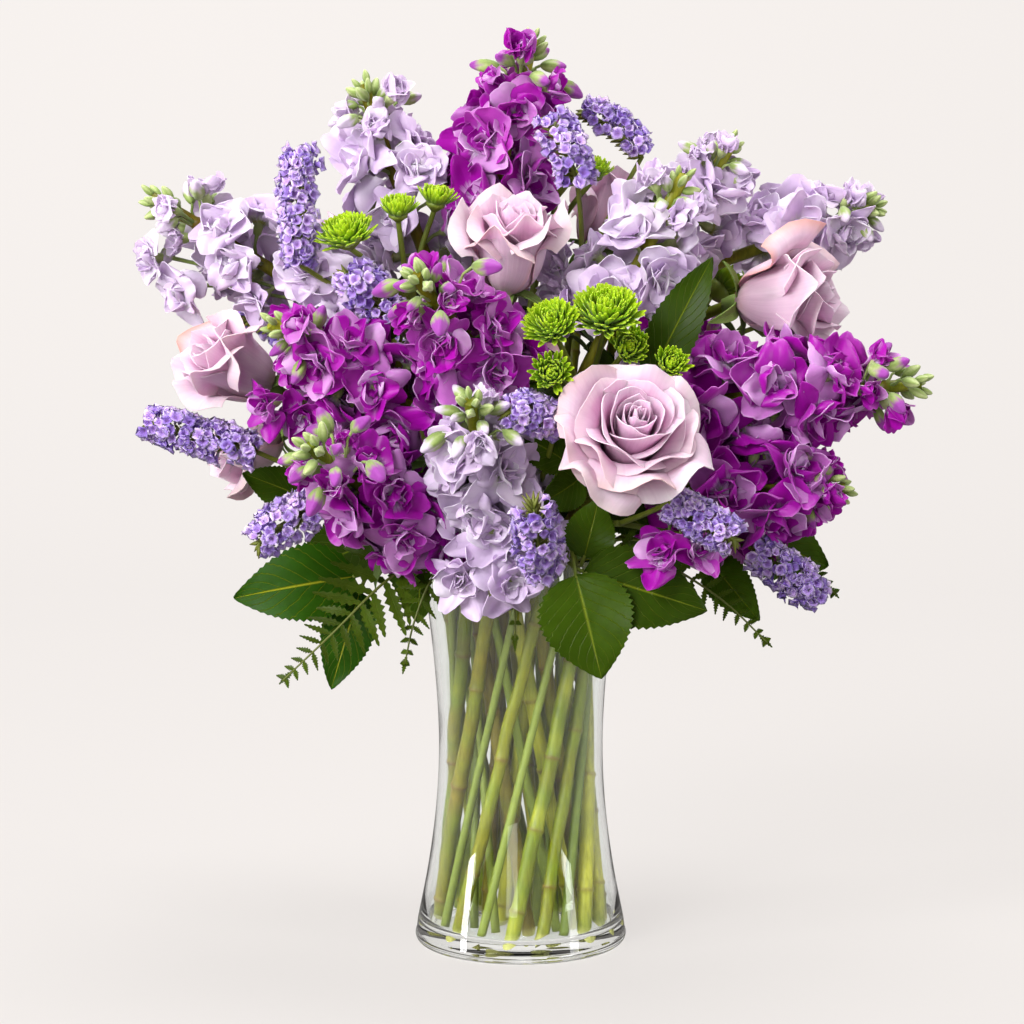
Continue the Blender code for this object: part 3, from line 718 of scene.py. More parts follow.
def stock_petal(mesh, turn, age, length, half_width, spread, curl, foot, rng):
    """A clawed petal that leaves the calyx upright and then spreads, grooved along its middle, twisted, waved
    and notched at its rim."""
    across, rows = (8, 7) if age > 0.4 else (4, 5)
    groove = rng.uniform(0.05, 0.55) * rng.choice((-1, 1, 1))
    twist = rng.uniform(-0.6, 0.6)
    lean = rng.uniform(-0.35, 0.35)
    ruffle = rng.uniform(0.7, 1.6) * lerp(0.8, 1, age)
    notch = rng.choice((0, 0, 0.06, 0.1))
    phase, place = rng.uniform(0, math.tau), rng.uniform(0, 50)
    outward = Vector((math.cos(turn), math.sin(turn), 0))
    side = Vector((-math.sin(turn), math.cos(turn), 0))
    up = Vector((0, 0, 1))

    def column(u):
        tall = length * (1 - 0.4 * abs(u) ** 2.6 + 0.03 * math.cos(4 * u + place)
                         - notch * math.exp(-(u / 0.25) ** 2))
        out, high, points = foot, 0, []
        for row in range(rows + 1):
            v = row / rows
            bend = lerp(0.12, 1, smooth_step(0.02, 0.42, v))
            angle = math.radians(spread * bend + curl * smooth_step(0.45, 1, v))
            if row:
                out += tall / rows * math.sin(angle)
                high += tall / rows * math.cos(angle)
            wide = half_width * (0.16 + 0.84 * smooth_step(0.06, 0.62, v))
            wide *= 1 - 0.16 * smooth_step(0.8, 1, v)
            inward = up * math.sin(angle) - outward * math.cos(angle)
            flat = side * math.cos(twist * v) + inward * math.sin(twist * v)
            rumple = noise.noise(Vector((u * 1.4, v * 1.5, place))) * 3.4 * v * lerp(0.6, 1, age)
            wave = ruffle * v * v * (0.5 * math.sin(4.2 * u + 2 * v + phase)
                                     + u * u * math.sin(6 * v + place))
            points.append(outward * out + up * high + flat * (u * wide) + side * (lean * tall * v * v)
                          + inward * (wave + rumple + groove * wide * abs(u) ** 1.3))
        return points

    petal(mesh, across, rows, column, age=age, tone=rng.random())


def stock_floret(name, openness, rng):
    """A double floret."""
    mesh = new_mesh("age", "tone")
    turn = rng.uniform(0, math.tau)
    for depth, (count, length, half_width, spread) in enumerate(STOCK_WHORLS):
        age = 1 - depth / (len(STOCK_WHORLS) - 1)
        for index in range(count):
            stock_petal(mesh, turn + math.tau * (index + rng.uniform(-0.3, 0.3)) / count, age,
                        length * rng.uniform(0.78, 1.1), half_width * rng.uniform(0.78, 1.15),
                        (spread + rng.uniform(-26, 26)) * openness, rng.uniform(-75, 60),
                        lerp(0.5, 2.4, age), rng)
        turn += 0.75
    return thicken(as_data(name, mesh), STOCK_PETAL_THICKNESS, crisp=82)


def stock_bud(name, show):
    """A closed bud, four ribbed sepals round, with a share of its petals showing between and above them."""
    mesh = new_mesh("tone", "rise", "show")
    sweep(mesh, [Vector((0, 0, height)) for height, _ in BUD_PROFILE],
          [radius for _, radius in BUD_PROFILE], 16)
    tone, rise, shown = (mesh.verts.layers.float[key] for key in ("tone", "rise", "show"))
    for vert in mesh.verts:
        share = vert.co.z / MM / BUD_PROFILE[-1][0]
        rib = math.cos(4 * math.atan2(vert.co.y, vert.co.x))
        vert[tone] = 0.5 - 0.5 * rib
        vert[rise] = share
        vert[shown] = smooth_step(0.9 - show, 1.02 - show, share - 0.16 * show * rib) if show else 0
        ridge = 1 + 0.2 * rib * math.sin(math.pi * share)
        vert.co.x *= ridge
        vert.co.y *= ridge
    return as_data(name, mesh, True)


rng = random.Random(7)
open_florets = [stock_floret(f"floret_{index}", rng.uniform(0.8, 1.15), rng) for index in range(10)]
half_florets = [stock_floret(f"half_floret_{index}", rng.uniform(0.2, 0.5), rng) for index in range(4)]
buds = [stock_bud("green_bud", 0), stock_bud("showing_bud", 0.3), stock_bud("opening_bud", 0.5)]


def stock_spike(name, rng):
    """The petals of a spike, and its green parts, on the axis and width of the CAD spike."""
    centres, radii = spike_rings[name]
    petals, green = new_mesh("age", "tone"), new_mesh("tone", "rise", "show")
    foot, tip = centres[0], centres[-1]
    axis = (tip - foot).normalized()
    length = (tip - foot).length
    turn = rng.uniform(0, math.tau)

    def stalk(share, pitch, reach, droop):
        """The calyx mouth and heading of a flower, and the path of its stalk."""
        out = Matrix.Rotation(turn, 3, axis) @ axis.orthogonal().normalized()
        way = (out * math.cos(pitch) + axis * math.sin(pitch)).normalized()
        start = foot + axis * length * share + out * 2
        mouth = start + way * reach
        heading = (way + Vector((0, 0, -droop)) + out * rng.uniform(-0.1, 0.2)).normalized()
        neck = mouth - heading * min(7, reach * 0.6)
        return mouth, heading, bezier(start, start + way * reach * 0.3 + axis * 1.5,
                                      neck - heading * reach * 0.25, neck, 3)

    def calyx(path, mouth, heading, low, high, past=1, radii=STALK_AND_CALYX):
        """A stalk, and on its end a calyx that widens at two shares of its length and ends past the mouth."""
        path = [*path, path[-1].lerp(mouth, low), path[-1].lerp(mouth, high), mouth + heading * past]
        sweep(green, path, radii, 6, tone=rng.random(), rise=CALYX_RISE)

    florets = max(8, round(length / FLORET_GAP))
    for index in range(florets):
        late = index / (florets - 1)
        share = lerp(-0.05, 0.6, late)
        width = radii[2] * lerp(0.9, 1, min(1, share * 4)) * (1 - 0.35 * smooth_step(0.35, 0.62, share))
        pitch = math.radians(lerp(4, 40, late) + rng.uniform(-9, 9))
        mouth, heading, path = stalk(share, pitch, max(10, width - 3), rng.uniform(-0.1, 0.45))
        calyx(path, mouth, heading, 0.2, 0.6)
        place_copy(petals, rng.choice(open_florets),
                   stand(mouth - heading, heading, rng.uniform(0, math.tau),
                         rng.uniform(0.95, 1.22) * WIDE_FLORETS.get(name, 1)))
        turn += GOLDEN_TURN + rng.uniform(-0.15, 0.15)
    for place, way, scale in HANGING_FLORETS.get(name, ()):
        place, way = Vector(place), Vector(way).normalized()
        start, neck = foot - axis * 4, place - way * 8
        calyx(bezier(start, start.lerp(neck, 0.4), neck - way * 6, neck, 3), place, way, 0.3, 0.7)
        place_copy(petals, rng.choice(open_florets), stand(place - way, way, rng.uniform(0, math.tau), scale))
    for index in range(4):
        mouth, heading, path = stalk(lerp(0.62, 0.76, index / 3), math.radians(rng.uniform(35, 60)),
                                     radii[4] * rng.uniform(0.55, 0.8), 0.1)
        calyx(path, mouth, heading, 0.25, 0.65, 1.5, HALF_OPEN_CALYX)
        place_copy(petals, rng.choice(half_florets),
                   stand(mouth - heading * 2, heading, rng.uniform(0, math.tau), rng.uniform(0.55, 0.8)))
        turn += GOLDEN_TURN
    spray = BUD_SPRAYS.get(name, 1)
    count = round(USUAL_BUDS * spray)
    for index in range(count):
        late = index / (count - 1)
        mouth, heading, path = stalk(lerp(0.68, 0.98, late), math.radians(lerp(24, 76, late)),
                                     spray * lerp(19, 4, late ** 0.8) * rng.uniform(0.8, 1.2),
                                     lerp(0.7, 0, late))
        sweep(green, path, (0.9, 0.75, 0.7, 0.8), 6, tone=rng.random(), rise=0.2)
        shape = buds[0] if late > 0.55 else buds[1] if rng.random() < 0.6 else buds[2]
        place_copy(green, shape, stand(path[-1] - heading * 0.4, heading, rng.uniform(0, math.tau),
                                       lerp(1.1, 0.5, late) * rng.uniform(0.9, 1.12) * spray ** 0.5))
        turn += GOLDEN_TURN
    return petals, green


def stock_finish(name, throat, streak, body, light, rim, glow, glow_radius):
    """Clawed petals: greenish throat, pale streaks, a full-coloured blade, a pale thin rim and some paler
    petals; the pale parts are partly the flower's own and partly painted highlight.
    """
    material, nodes = new_material(name)
    streaks, mottle = petal_lines(nodes, 14)
    _, v, off_middle = nodes.uv()
    age, tone = nodes.layer("age"), nodes.layer("tone")
    # the pale streaks near the foot: partly the petals' own, partly painted highlight
    broken = nodes.plus_times(streaks, 0.34, nodes.sums("SUBTRACT", v, 0.17))
    skin = nodes.ramp(broken, (0.02, throat), (0.2, streak), (0.42, body), (1, body))
    # paler petals, more of them inwards: partly the inner petals' own paler colour, partly painted highlight
    skin = nodes.blend(nodes.times(nodes.step(tone, 0.45, 0.95), nodes.plus_times(age, -0.5, 1)), skin, light)
    skin = nodes.tint(1, skin, nodes.ramp(mottle, (0.25, (0.72, 0.7, 0.78)), (0.7, WHITE)))
    # the pale thin rim: partly the petals' own pale edge, partly painted highlight
    edge = nodes.sums("MAXIMUM", v, nodes.times(off_middle, nodes.step(v, 0.2, 0.6)))
    edge = nodes.times(nodes.ramp(edge, (0.94, BLACK), (1, WHITE)), nodes.sums("POWER", tone, 2.2))
    skin = nodes.blend(nodes.times(edge, nodes.times(mottle, 1.5)), skin, rim)
    petal_finish(nodes, skin, streaks, mottle, 0.38, glow, glow_radius, 0.0003)
    return material


def calyx_skin(name, petal_colour):
    """Downy grey-green skin, yellower towards the flower, with petal colour where a bud is opening."""
    material, nodes = new_material(name)
    down = nodes.noise(700)
    rise = nodes.plus_times(nodes.layer("tone"), 0.4, nodes.times(nodes.layer("rise"), 0.6))
    skin = nodes.ramp(rise, (0, (0.14, 0.22, 0.035)), (0.45, (0.3, 0.4, 0.1)), (1, (0.62, 0.68, 0.34)))
    skin = nodes.tint(0.5, skin, nodes.ramp(down, (0.3, (0.6, 0.65, 0.5)), (0.7, (1, 1, 0.95))))
    nodes.skin({"Base Color": nodes.blend(nodes.layer("show"), skin, petal_colour),
                "Roughness": nodes.spread(down, 0.5, 0.8), "Normal": nodes.bump(down, 0.0002),
                "Sheen Weight": 0.3})
    return material


STOCK_SKINS = {  # each colour's petals and green parts
    "purple": (stock_finish("purple_stock_petals", (0.62, 0.68, 0.34), (0.82, 0.62, 0.86), (0.38, 0.0, 0.36),
                            (0.88, 0.54, 0.9), (0.8, 0.5, 0.84), 0.18, (1.0, 0.15, 0.9)),
               calyx_skin("purple_stock_calyx", (0.3, 0.03, 0.33))),
    "lilac": (stock_finish("lilac_stock_petals", (0.40, 0.46, 0.08), (0.8, 0.78, 0.72), (0.76, 0.58, 0.82),
                           (0.89, 0.81, 0.91), (0.96, 0.93, 0.97), 0.22, (0.9, 0.65, 1.0)),
              calyx_skin("lilac_stock_calyx", (0.66, 0.55, 0.7))),
}
for index, name in enumerate(stock_names):
    petals, green = stock_spike(name, random.Random(400 + index))
    colour = name.split("_")[0]
    petal_skin, green_skin = STOCK_SKINS[colour]
    add_piece(f"{name}_florets", as_data(f"{name}_florets", petals), petal_skin, f"{colour}_petal", name)
    add_green(f"{name}_calyxes_and_buds", green, green_skin)


# --------------------------------------------------------------------------------------------------------
# The statice
# Forked, winged stems that end in one-sided combs of small papery funnels, each on a brown-green bract.
# The funnels keep their colour dry.

STATICES = {  # the fork, then the foot, tip and radius of each comb, in millimetres
    "statice_upper_left": ((-60, -10, 316), ((-107, -55, 350), (-108, -50, 404), 9),
                           ((-62, -60, 324), (-84, -64, 346), 11)),
    "statice_left": ((-84, -46, 238), ((-128, -68, 260), (-180, -68, 274), 9),
                     ((-94, -82, 238), (-126, -88, 219), 10)),
    "statice_top": ((32, -4, 350), ((28, -26, 388), (16, -22, 420), 11), ((62, 30, 402), (34, 30, 425), 10)),
    "statice_front": ((6, -66, 232), ((10, -96, 206), (6, -120, 238), 11),
                      ((17, -104, 278), (-5, -113, 284), 9)),
    "statice_right": ((50, -58, 224), ((70, -108, 240), (100, -116, 224), 9),
                      ((112, -74, 214), (144, -70, 190), 9)),
    "statice_back": ((-56, 62, 284), ((-112, 96, 302), (-150, 88, 318), 11),
                     ((-58, 116, 286), (-66, 142, 300), 11)),
}
FUNNEL_PROFILE = ((0, 0), (0.5, 0.2), (0.8, 3.0), (1.7, 5.0), (3.1, 6.2), (1.5, 5.0), (0, 3.6))
FUNNEL_MOUTH = 3.1
FUNNEL_DEPTH = 4.6  # of a comb's radius that the funnels take up themselves
SEATS, SEAT_TURN, EMPTY_SEATS = 8, 27, 0.14  # round a comb, degrees between them, and how many stay empty
BRACTS, BRACT_TURN = 4, 33
ROW_GAP = 3
TRUNK_RINGS = 7  # of a forked plant's CAD solid, below its fork


def papery_funnel(name, rng):
    """One ruffled calyx, the part of statice that lasts."""
    mesh = new_mesh("rise", "throat", "tone")
    lathe(mesh, FUNNEL_PROFILE, 8, rise=(0, 0, 0.35, 0.8, 1, 0.7, 0.3), throat=(0, 0, 0, 0, 0, 0.45, 1))
    phase = rng.uniform(0, math.tau)
    for vert in mesh.verts:
        angle = math.atan2(vert.co.y, vert.co.x)
        out = (vert.co.xy.length / (FUNNEL_MOUTH * MM)) ** 2
        vert.co.z += (0.8 * math.cos(5 * angle + phase) + 0.3 * math.cos(3 * angle)) * out * MM
        grow = 1 + 0.16 * math.cos(2 * angle + phase) * out
        vert.co.x *= grow
        vert.co.y /= grow
    return as_data(name, mesh, True)


funnels = [papery_funnel(f"funnel_{index}", rng) for index in range(4)]


def comb(petals, green, foot, tip, radius, rng):
    """One comb, its funnels packed round the sunny side of a bent twig."""
    axis = (tip - foot).normalized()
    middle = foot.lerp(tip, 0.5)
    sunny = Vector((middle.x, middle.y, middle.z - 230)).normalized() + Vector((0, -0.45, 0.3))
    sunny = (sunny - axis * sunny.dot(axis)).normalized()
    side = axis.cross(sunny)
    spine = bezier(foot, foot.lerp(tip, 0.33) + sunny * 2, foot.lerp(tip, 0.66) + sunny * 2, tip - sunny, 8)
    sweep(green, spine, [lerp(1.2, 0.5, step / 8) for step in range(9)], 6, tone=rng.random(), rise=0.3)
    rows = max(6, round((tip - foot).length / ROW_GAP))
    bunches = rng.uniform(0, 50)
    for row in range(rows + 1):
        place, ahead = along(spine, row / rows)
        narrow = 1 - 0.45 * (2 * row / rows - 1) ** 4
        for seat in range(SEATS):
            if rng.random() < EMPTY_SEATS:
                continue
            angle = math.radians((seat - 3.5) * SEAT_TURN + (13 if row % 2 else 0) + rng.uniform(-11, 11))
            way = sunny * math.cos(angle) + side * math.sin(angle)
            way = (way + ahead * rng.uniform(-0.1, 0.35) + Vector((0, 0, 0.12))).normalized()
            bunched = 1 + 0.5 * noise.noise(Vector((row * 0.28, seat * 0.45, bunches)))
            reach = (radius - FUNNEL_DEPTH) * narrow * bunched * rng.uniform(0.8, 1.15)
            place_copy(petals, rng.choice(funnels),
                       stand(place + way * reach * 0.95, way, rng.uniform(0, math.tau),
                             rng.uniform(0.8, 1.15)), tone=rng.random())
        for bract in range(BRACTS):
            angle = math.radians(130 + bract * BRACT_TURN + rng.uniform(-12, 12))
            way = (sunny * math.cos(angle) + side * math.sin(angle) + ahead * 0.8).normalized()
            sweep(green, [place, place + way * radius * 0.4, place + way * radius * 0.8], (0.5, 1.1, 0.2), 4,
                  tone=rng.random(), rise=(0.2, 0.6, 1))


def twig(green, points, low, high, rng):
    """A green branch through points, from radius low to high."""
    path = even_path(points)
    thick = [lerp(low, high, step / (len(path) - 1)) for step in range(len(path))]
    sweep(green, path, thick, 7, tone=rng.random(), rise=0.25)


def trunk_to(fork, name, green, low, high, rng):
    """Grows a plant's stem from the vase's floor to its fork. Returns the fork and the place below it."""
    trunk = [*read_rings(name)[0][:TRUNK_RINGS], Vector(fork)]
    twig(green, trunk, low, high, rng)
    return trunk[-1], trunk[-2]


def spray_green(name, low, high):
    """The skin of thin branches and bracts."""
    material, nodes = new_material(name)
    patches = nodes.noise(260)
    value = nodes.plus_times(nodes.layer("tone"), 0.5, nodes.times(patches, 0.5))
    skin = nodes.blend(nodes.times(nodes.layer("rise"), 0.3), nodes.ramp(value, (0.15, low), (0.8, high)),
                       (0.22, 0.12, 0.05))
    nodes.skin({"Base Color": skin, "Roughness": nodes.spread(patches, 0.4, 0.7)})
    return material


# papery blue-violet, palest at the frilled rim, and darkened down the throat as painted shade
STATICE_PAPER, nodes = new_material("statice_paper")
crinkle = nodes.noise(900)
skin = nodes.ramp(nodes.layer("rise"), (0, (0.4, 0.42, 0.2)), (0.4, (0.42, 0.25, 0.72)),
                  (0.85, (0.60, 0.42, 0.92)), (1, (0.86, 0.74, 0.97)))
light = nodes.ramp(nodes.layer("tone"), (0, (0.46, 0.4, 0.7)), (0.55, (0.95, 0.92, 0.98)),
                   (1, (1.25, 1.22, 1.1)))
# painted shade: the inside of each funnel is darkened towards its foot
skin = nodes.blend(nodes.times(nodes.layer("throat"), 0.7), nodes.tint(1, skin, light), (0.16, 0.05, 0.2))
nodes.skin({"Base Color": skin, "Roughness": nodes.spread(crinkle, 0.6, 0.85),
            "Normal": nodes.bump(crinkle, 0.0003), "Subsurface Weight": 0.15,
            "Subsurface Radius": (0.6, 0.5, 1), "Subsurface Scale": 0.002})
STATICE_GREEN = spray_green("statice_twig", (0.09, 0.13, 0.008), (0.2, 0.25, 0.015))

for index, (name, (fork, *combs)) in enumerate(STATICES.items()):
    rng = random.Random(500 + index)
    petals, green = new_mesh("rise", "throat", "tone"), new_mesh("tone", "rise")
    fork, below = trunk_to(fork, name, green, 2.3, 1.7, rng)
    for foot, tip, radius in combs:
        foot, tip = Vector(foot), Vector(tip)
        twig(green, [below.lerp(fork, 0.7), fork.lerp(foot, 0.5), foot], 1.5, 1.2, rng)
        comb(petals, green, foot, tip, radius, rng)
    add_piece(f"{name}_funnels", as_data(f"{name}_funnels", petals), STATICE_PAPER, "statice_petal", name)
    add_green(f"{name}_twigs", green, STATICE_GREEN)


# --------------------------------------------------------------------------------------------------------
# The button mums
# Sprays of small lime-green chrysanthemums. Each head is a button packed with quilled petals, younger and
# tighter towards its middle.

MUMS = {  # the fork, then the middle, the way it faces and the radius of each head, in millimetres
    "mum_left": ((-56, -34, 336), ((-60, -52, 380), (0, -2, 5), 9), ((-41, -40, 385), (1, -1, 5), 9),
                 ((-86, -62, 370), (-1, -2, 4), 13)),
    "mum_right": ((32, -56, 284), ((13, -104, 328), (-1, -3, 3), 12), ((40, -96, 334), (0, -3, 4), 15),
                  ((52, -88, 314), (1, -5, 2), 10), ((14, -112, 303), (0, -4, 1), 9.5),
                  ((72, -92, 306), (1, -4, 2), 8.5)),
    "mum_top": ((14, 30, 362), ((16, 44, 394), (-1, 1, 4), 13), ((38, 10, 398), (1, -1, 4), 9)),
    "mum_back": ((80, 56, 296), ((110, 66, 336), (3, 2, 2), 14), ((84, 84, 338), (1, 3, 3), 12),
                 ((132, 48, 316), (4, 1, 1), 11)),
}
OPEN_BUTTON = 11.5  # heads wider than this are open
QUILL_TURN = math.radians(137.508)  # closer to the golden turn, as a head has many quills
QUILL_THICKNESS = 0.3
QUILL_REACH = 1.12  # the quills' tips stand out a little past the head's solid
NECK = (0.28, 0.46, 0.5, 0.3)  # radii of the green cushion as shares of the head's


def quill_outline(v):
    return lerp(0.7, 1, v) * (1 - 0.75 * smooth_step(0.82, 1, v))


def mum_head(petals, green, middle, way, radius, rng):
    """A head: quills on a green cushion, from upright in the middle to spreading at the rim."""
    side = way.orthogonal().normalized()
    lying, longest, crook, density = (96, 0.86, 60, 14) if radius > OPEN_BUTTON else (72, 1, 75, 11)
    radius *= QUILL_REACH
    count = round(radius * density)
    cushion = middle - way * radius * 0.45
    for index in range(count):
        share = math.sqrt((index + 0.5) / count)
        out = Matrix.Rotation(index * QUILL_TURN, 3, way) @ side
        lean = math.radians(lerp(4, lying, share ** 1.3) + rng.uniform(-7, 7))
        heading = way * math.cos(lean) + out * math.sin(lean)
        base = cushion + out * radius * 0.34 * share - way * radius * 0.12 * share * share
        length = radius * lerp(0.62, longest, share) * rng.uniform(0.9, 1.06)
        inner = (out * -math.cos(lean) + way * math.sin(lean)).normalized()
        strap(petals, base, heading, inner, length, radius * lerp(0.06, 0.115, share), quill_outline,
              -rng.uniform(30, crook), 2, 4, fold=0.5, tone=rng.random())
    neck = [cushion - way * radius * (0.5 - step * 0.14) for step in range(5)]
    sweep(green, neck, [1.4, *(radius * share for share in NECK)], 10, tone=rng.random())


# lime-green quills, darkened as painted shade at their feet where they are packed, and lighter at their tips
MUM_QUILLS, nodes = new_material("mum_quills")
_, v, off_middle = nodes.uv()
streaks, mottle = petal_lines(nodes, 8)
# painted shade: near black at the quills' feet, where they are packed
skin = nodes.ramp(v, (0, (0.03, 0.08, 0.001)), (0.5, (0.15, 0.29, 0.002)), (0.85, (0.34, 0.53, 0.003)),
                  (1, (0.5, 0.7, 0.015)))
skin = nodes.tint(1, skin, nodes.ramp(nodes.layer("tone"), (0, (0.8, 0.82, 0.8)), (1, (1.1, 1.08, 1))))
skin = nodes.blend(nodes.times(nodes.sums("POWER", off_middle, 3), 0.3), skin, (0.48, 0.72, 0.06))
petal_finish(nodes, skin, streaks, mottle, 0.45, 0.2, (0.5, 1, 0.1), 0.0002)
MUM_GREEN = spray_green("mum_stalk", (0.08, 0.13, 0.006), (0.19, 0.25, 0.012))

for index, (name, (fork, *heads)) in enumerate(MUMS.items()):
    rng = random.Random(600 + index)
    petals, green = new_mesh("tone"), new_mesh("tone", "rise")
    fork, below = trunk_to(fork, name, green, 2.5, 2.0, rng)
    for middle, way, radius in heads:
        middle, way = Vector(middle), Vector(way).normalized()
        neck = middle - way * radius
        twig(green, [below.lerp(fork, 0.6), fork.lerp(neck, 0.5), neck, neck + way * 2], 1.7, 1.3, rng)
        mum_head(petals, green, middle, way, radius, rng)
    add_sheets(f"{name}_quills", petals, QUILL_THICKNESS, MUM_QUILLS, "mum_petal", name)
    add_green(f"{name}_stalks", green, MUM_GREEN)


# --------------------------------------------------------------------------------------------------------
# The rose leaves
# Compound leaves: toothed leaflets with a sunk midrib, on thin stalks that stand in the vase's mouth.

LEAVES = {  # the fork, then the base, tip, half width and facing of each leaflet, in millimetres
    "leaf_front": ((24, -62, 219), ((26, -104, 205), (38, -112, 157), 22, (0, -1, 0.1)),
                   ((30, -102, 206), (88, -104, 188), 19, (0, -1, 0.2)),
                   ((30, -96, 212), (37, -92, 240), 12, (0, -1, 0.1))),
    "leaf_left": ((-62, -36, 214), ((-82, -46, 196), (-141, -50, 186), 19, (0, -1, 0.4)),
                  ((-80, -44, 188), (-94, -50, 141), 13, (0, -1, 0.2))),
    "leaf_right": ((74, -42, 213), ((106, -42, 220), (152, -36, 200), 18, (0.1, -1, 0.3)),
                   ((92, -54, 206), (116, -70, 178), 11, (0, -1, 0))),
    "leaf_top": ((48, -58, 282), ((62, -74, 296), (92, -66, 354), 12, (-0.2, -1, 0.1))),
    "leaf_far_left": ((-76, -2, 226), ((-104, -30, 232), (-138, -34, 246), 11, (0, -1, 0.2))),
    "leaf_back_left": ((-52, 48, 213), ((-74, 66, 200), (-122, 92, 176), 19, (-0.2, 1, 0.4)),
                       ((-52, 78, 198), (-56, 104, 150), 18, (0, 1, 0.2))),
    "leaf_back_right": ((62, 42, 215), ((86, 58, 206), (140, 66, 192), 18, (0.3, 1, 0.3)),
                        ((66, 72, 200), (78, 100, 158), 17, (0.2, 1, 0.2))),
}
LEAF_ROWS = 36
YOUNG_LEAF = leaf_green("young_rose_leaf", (0.022, 0.078, 0.0006), (0.42, 0.4, 0.02), 8, 0.34)


def leaf_outline(v):
    return math.sin(math.pi * v ** 0.72) ** 0.7 * (1 - 0.35 * v ** 5) + 0.01


def leaf_teeth(v):
    """Saw teeth that point to the tip, finer towards it."""
    return (0.07 if round(v * LEAF_ROWS) % 2 else -0.03) * (1 - 0.4 * v)


def stalk_in_mouth(name):
    """The path between the stems and the vase's wall, up to its first bend outside."""
    return read_rings(name)[0][:2]


for index, (name, (fork, *leaflets)) in enumerate(LEAVES.items()):
    rng = random.Random(700 + index)
    blades, green = new_mesh("tone"), new_mesh("tone", "rise")
    fork = Vector(fork)
    inside = stalk_in_mouth(name)
    spread = (sum((Vector(base) for base, *_ in leaflets), Vector()) / len(leaflets) - fork).normalized()
    climb = (inside[-1] - inside[-2]).normalized() * 10
    stalk = bezier(inside[-1], inside[-1] + climb, fork - spread * 8, fork, 3)
    twig(green, [inside[0], *stalk], 1.3, 1.1, rng)
    for base, tip, half_width, facing in leaflets:
        base, tip, facing = Vector(base), Vector(tip), Vector(facing).normalized()
        heading = (tip - base).normalized()
        hook = (base - fork).length * 0.4
        petiole = bezier(fork - spread * 2, fork + spread * hook, base - heading * hook,
                         base + heading * 1.5, 6)
        sweep(green, petiole, [1.0] * 7, 7, tone=rng.random(), rise=0.3)
        bend = rng.uniform(12, 26)
        start = Matrix.Rotation(math.radians(bend / 2), 3, heading.cross(facing)) @ heading
        strap(blades, base, start, facing, (tip - base).length * 1.02, half_width, leaf_outline, bend, 8,
              LEAF_ROWS, fold=rng.uniform(0.1, 0.22), tone=rng.random(), teeth=leaf_teeth, ripple=1.3,
              phase=rng.uniform(0, 6))
    skin = YOUNG_LEAF if name == "leaf_left" else ROSE_LEAF
    add_sheets(f"{name}_blades", blades, LEAF_THICKNESS, skin, "leaf", name)
    add_green(f"{name}_stalks", green, MUM_GREEN)


# --------------------------------------------------------------------------------------------------------
# The ferns
# Leatherleaf fronds: a stiff rib with pairs of leathery pinnae, each cut into lobes that point to its tip.

FERNS = {  # points of the rib outside the mouth, half width of the frond, and the way it faces
    "fern_left": (((-38, -38, 211), (-66, -60, 196), (-92, -74, 172), (-116, -82, 150)), 20, (0, -1, 0.5)),
    "fern_low_left": (((-26, -47, 210), (-42, -62, 200), (-52, -70, 178), (-57, -72, 156)), 11, (0, -1, 0.2)),
    "fern_centre": (((-6, -51, 210), (-4, -60, 200), (-3, -64, 186), (-3, -66, 168)), 8, (0, -1, 0.2)),
    "fern_right": (((36, -50, 210), (64, -68, 208), (96, -76, 190), (120, -80, 168)), 13, (0, -1, 0.3)),
    "fern_far_right": (((60, -20, 215), (104, -30, 218), (136, -30, 206), (158, -28, 184)), 14, (0, -1, 0.3)),
    "fern_back": (((-14, 50, 211), (-24, 76, 202), (-32, 96, 178), (-38, 104, 152)), 16, (0, 1, 0.3)),
}
PINNA_ROWS = 14  # two for each lobe
PINNA_GAP = 8.5
PINNA_REACH = 1.6  # of the frond's half width, as the pinnae slant to the tip
PINNA_WIDTHS = 1.9, 4.8  # least and most half width
PINNA_THICKNESS = 0.4
FERN_SKIN = leaf_green("fern_skin", (0.045, 0.072, 0.004), (0.1, 0.15, 0.012), 7, 0.2)
FERN_RIB = spray_green("fern_rib", (0.06, 0.09, 0.01), (0.14, 0.17, 0.02))


def pinna_outline(v):
    """Deep lobes that shorten to the tip."""
    lobe = 1 if round(v * PINNA_ROWS) % 2 else 0.52
    return (lobe * (1 - 0.92 * v ** 1.8) + 0.03) * min(1, 0.2 + v * 2.4)


for index, (name, (rib, half_width, facing)) in enumerate(FERNS.items()):
    rng = random.Random(800 + index)
    blades, green = new_mesh("tone"), new_mesh("tone", "rise")
    rib, facing = [Vector(point) for point in rib], Vector(facing).normalized()
    twig(green, [*stalk_in_mouth(name), *rib], 1.1, 0.4, rng)
    path = smooth_through(rib, 8)
    pairs = round(length_of(path) / PINNA_GAP)
    for pair in range(pairs):
        share = lerp(0.14, 0.98, (pair / (pairs - 1)) ** 0.75)
        place, ahead = along(path, share)
        reach = half_width * PINNA_REACH * (1 - 0.85 * smooth_step(0.2, 1.02, share))
        reach *= lerp(0.75, 1, min(1, share * 4))
        for hand in (-1, 1):
            side = ahead.cross(facing).normalized() * hand
            way = (side + ahead * rng.uniform(0.45, 0.65) + facing * rng.uniform(-0.1, 0.15)).normalized()
            strap(blades, place, way, facing, reach * rng.uniform(0.9, 1.08),
                  min(PINNA_WIDTHS[1], max(PINNA_WIDTHS[0], reach * 0.17)), pinna_outline,
                  rng.uniform(-5, 28), 2, PINNA_ROWS,
                  fold=0.12, tone=rng.random())
    strap(blades, along(path, 0.94)[0], path[-1] - path[-2], facing, 9, 2, pinna_outline, 5, 2, PINNA_ROWS,
          fold=0.1, tone=rng.random())
    add_sheets(f"{name}_pinnae", blades, PINNA_THICKNESS, FERN_SKIN, "fern", name)
    add_green(f"{name}_rib", green, FERN_RIB)


# --------------------------------------------------------------------------------------------------------
# The leaves left on the flower stems
# Above the vase each rose keeps a few toothed leaflets, and each stock a few long grey-green blades.

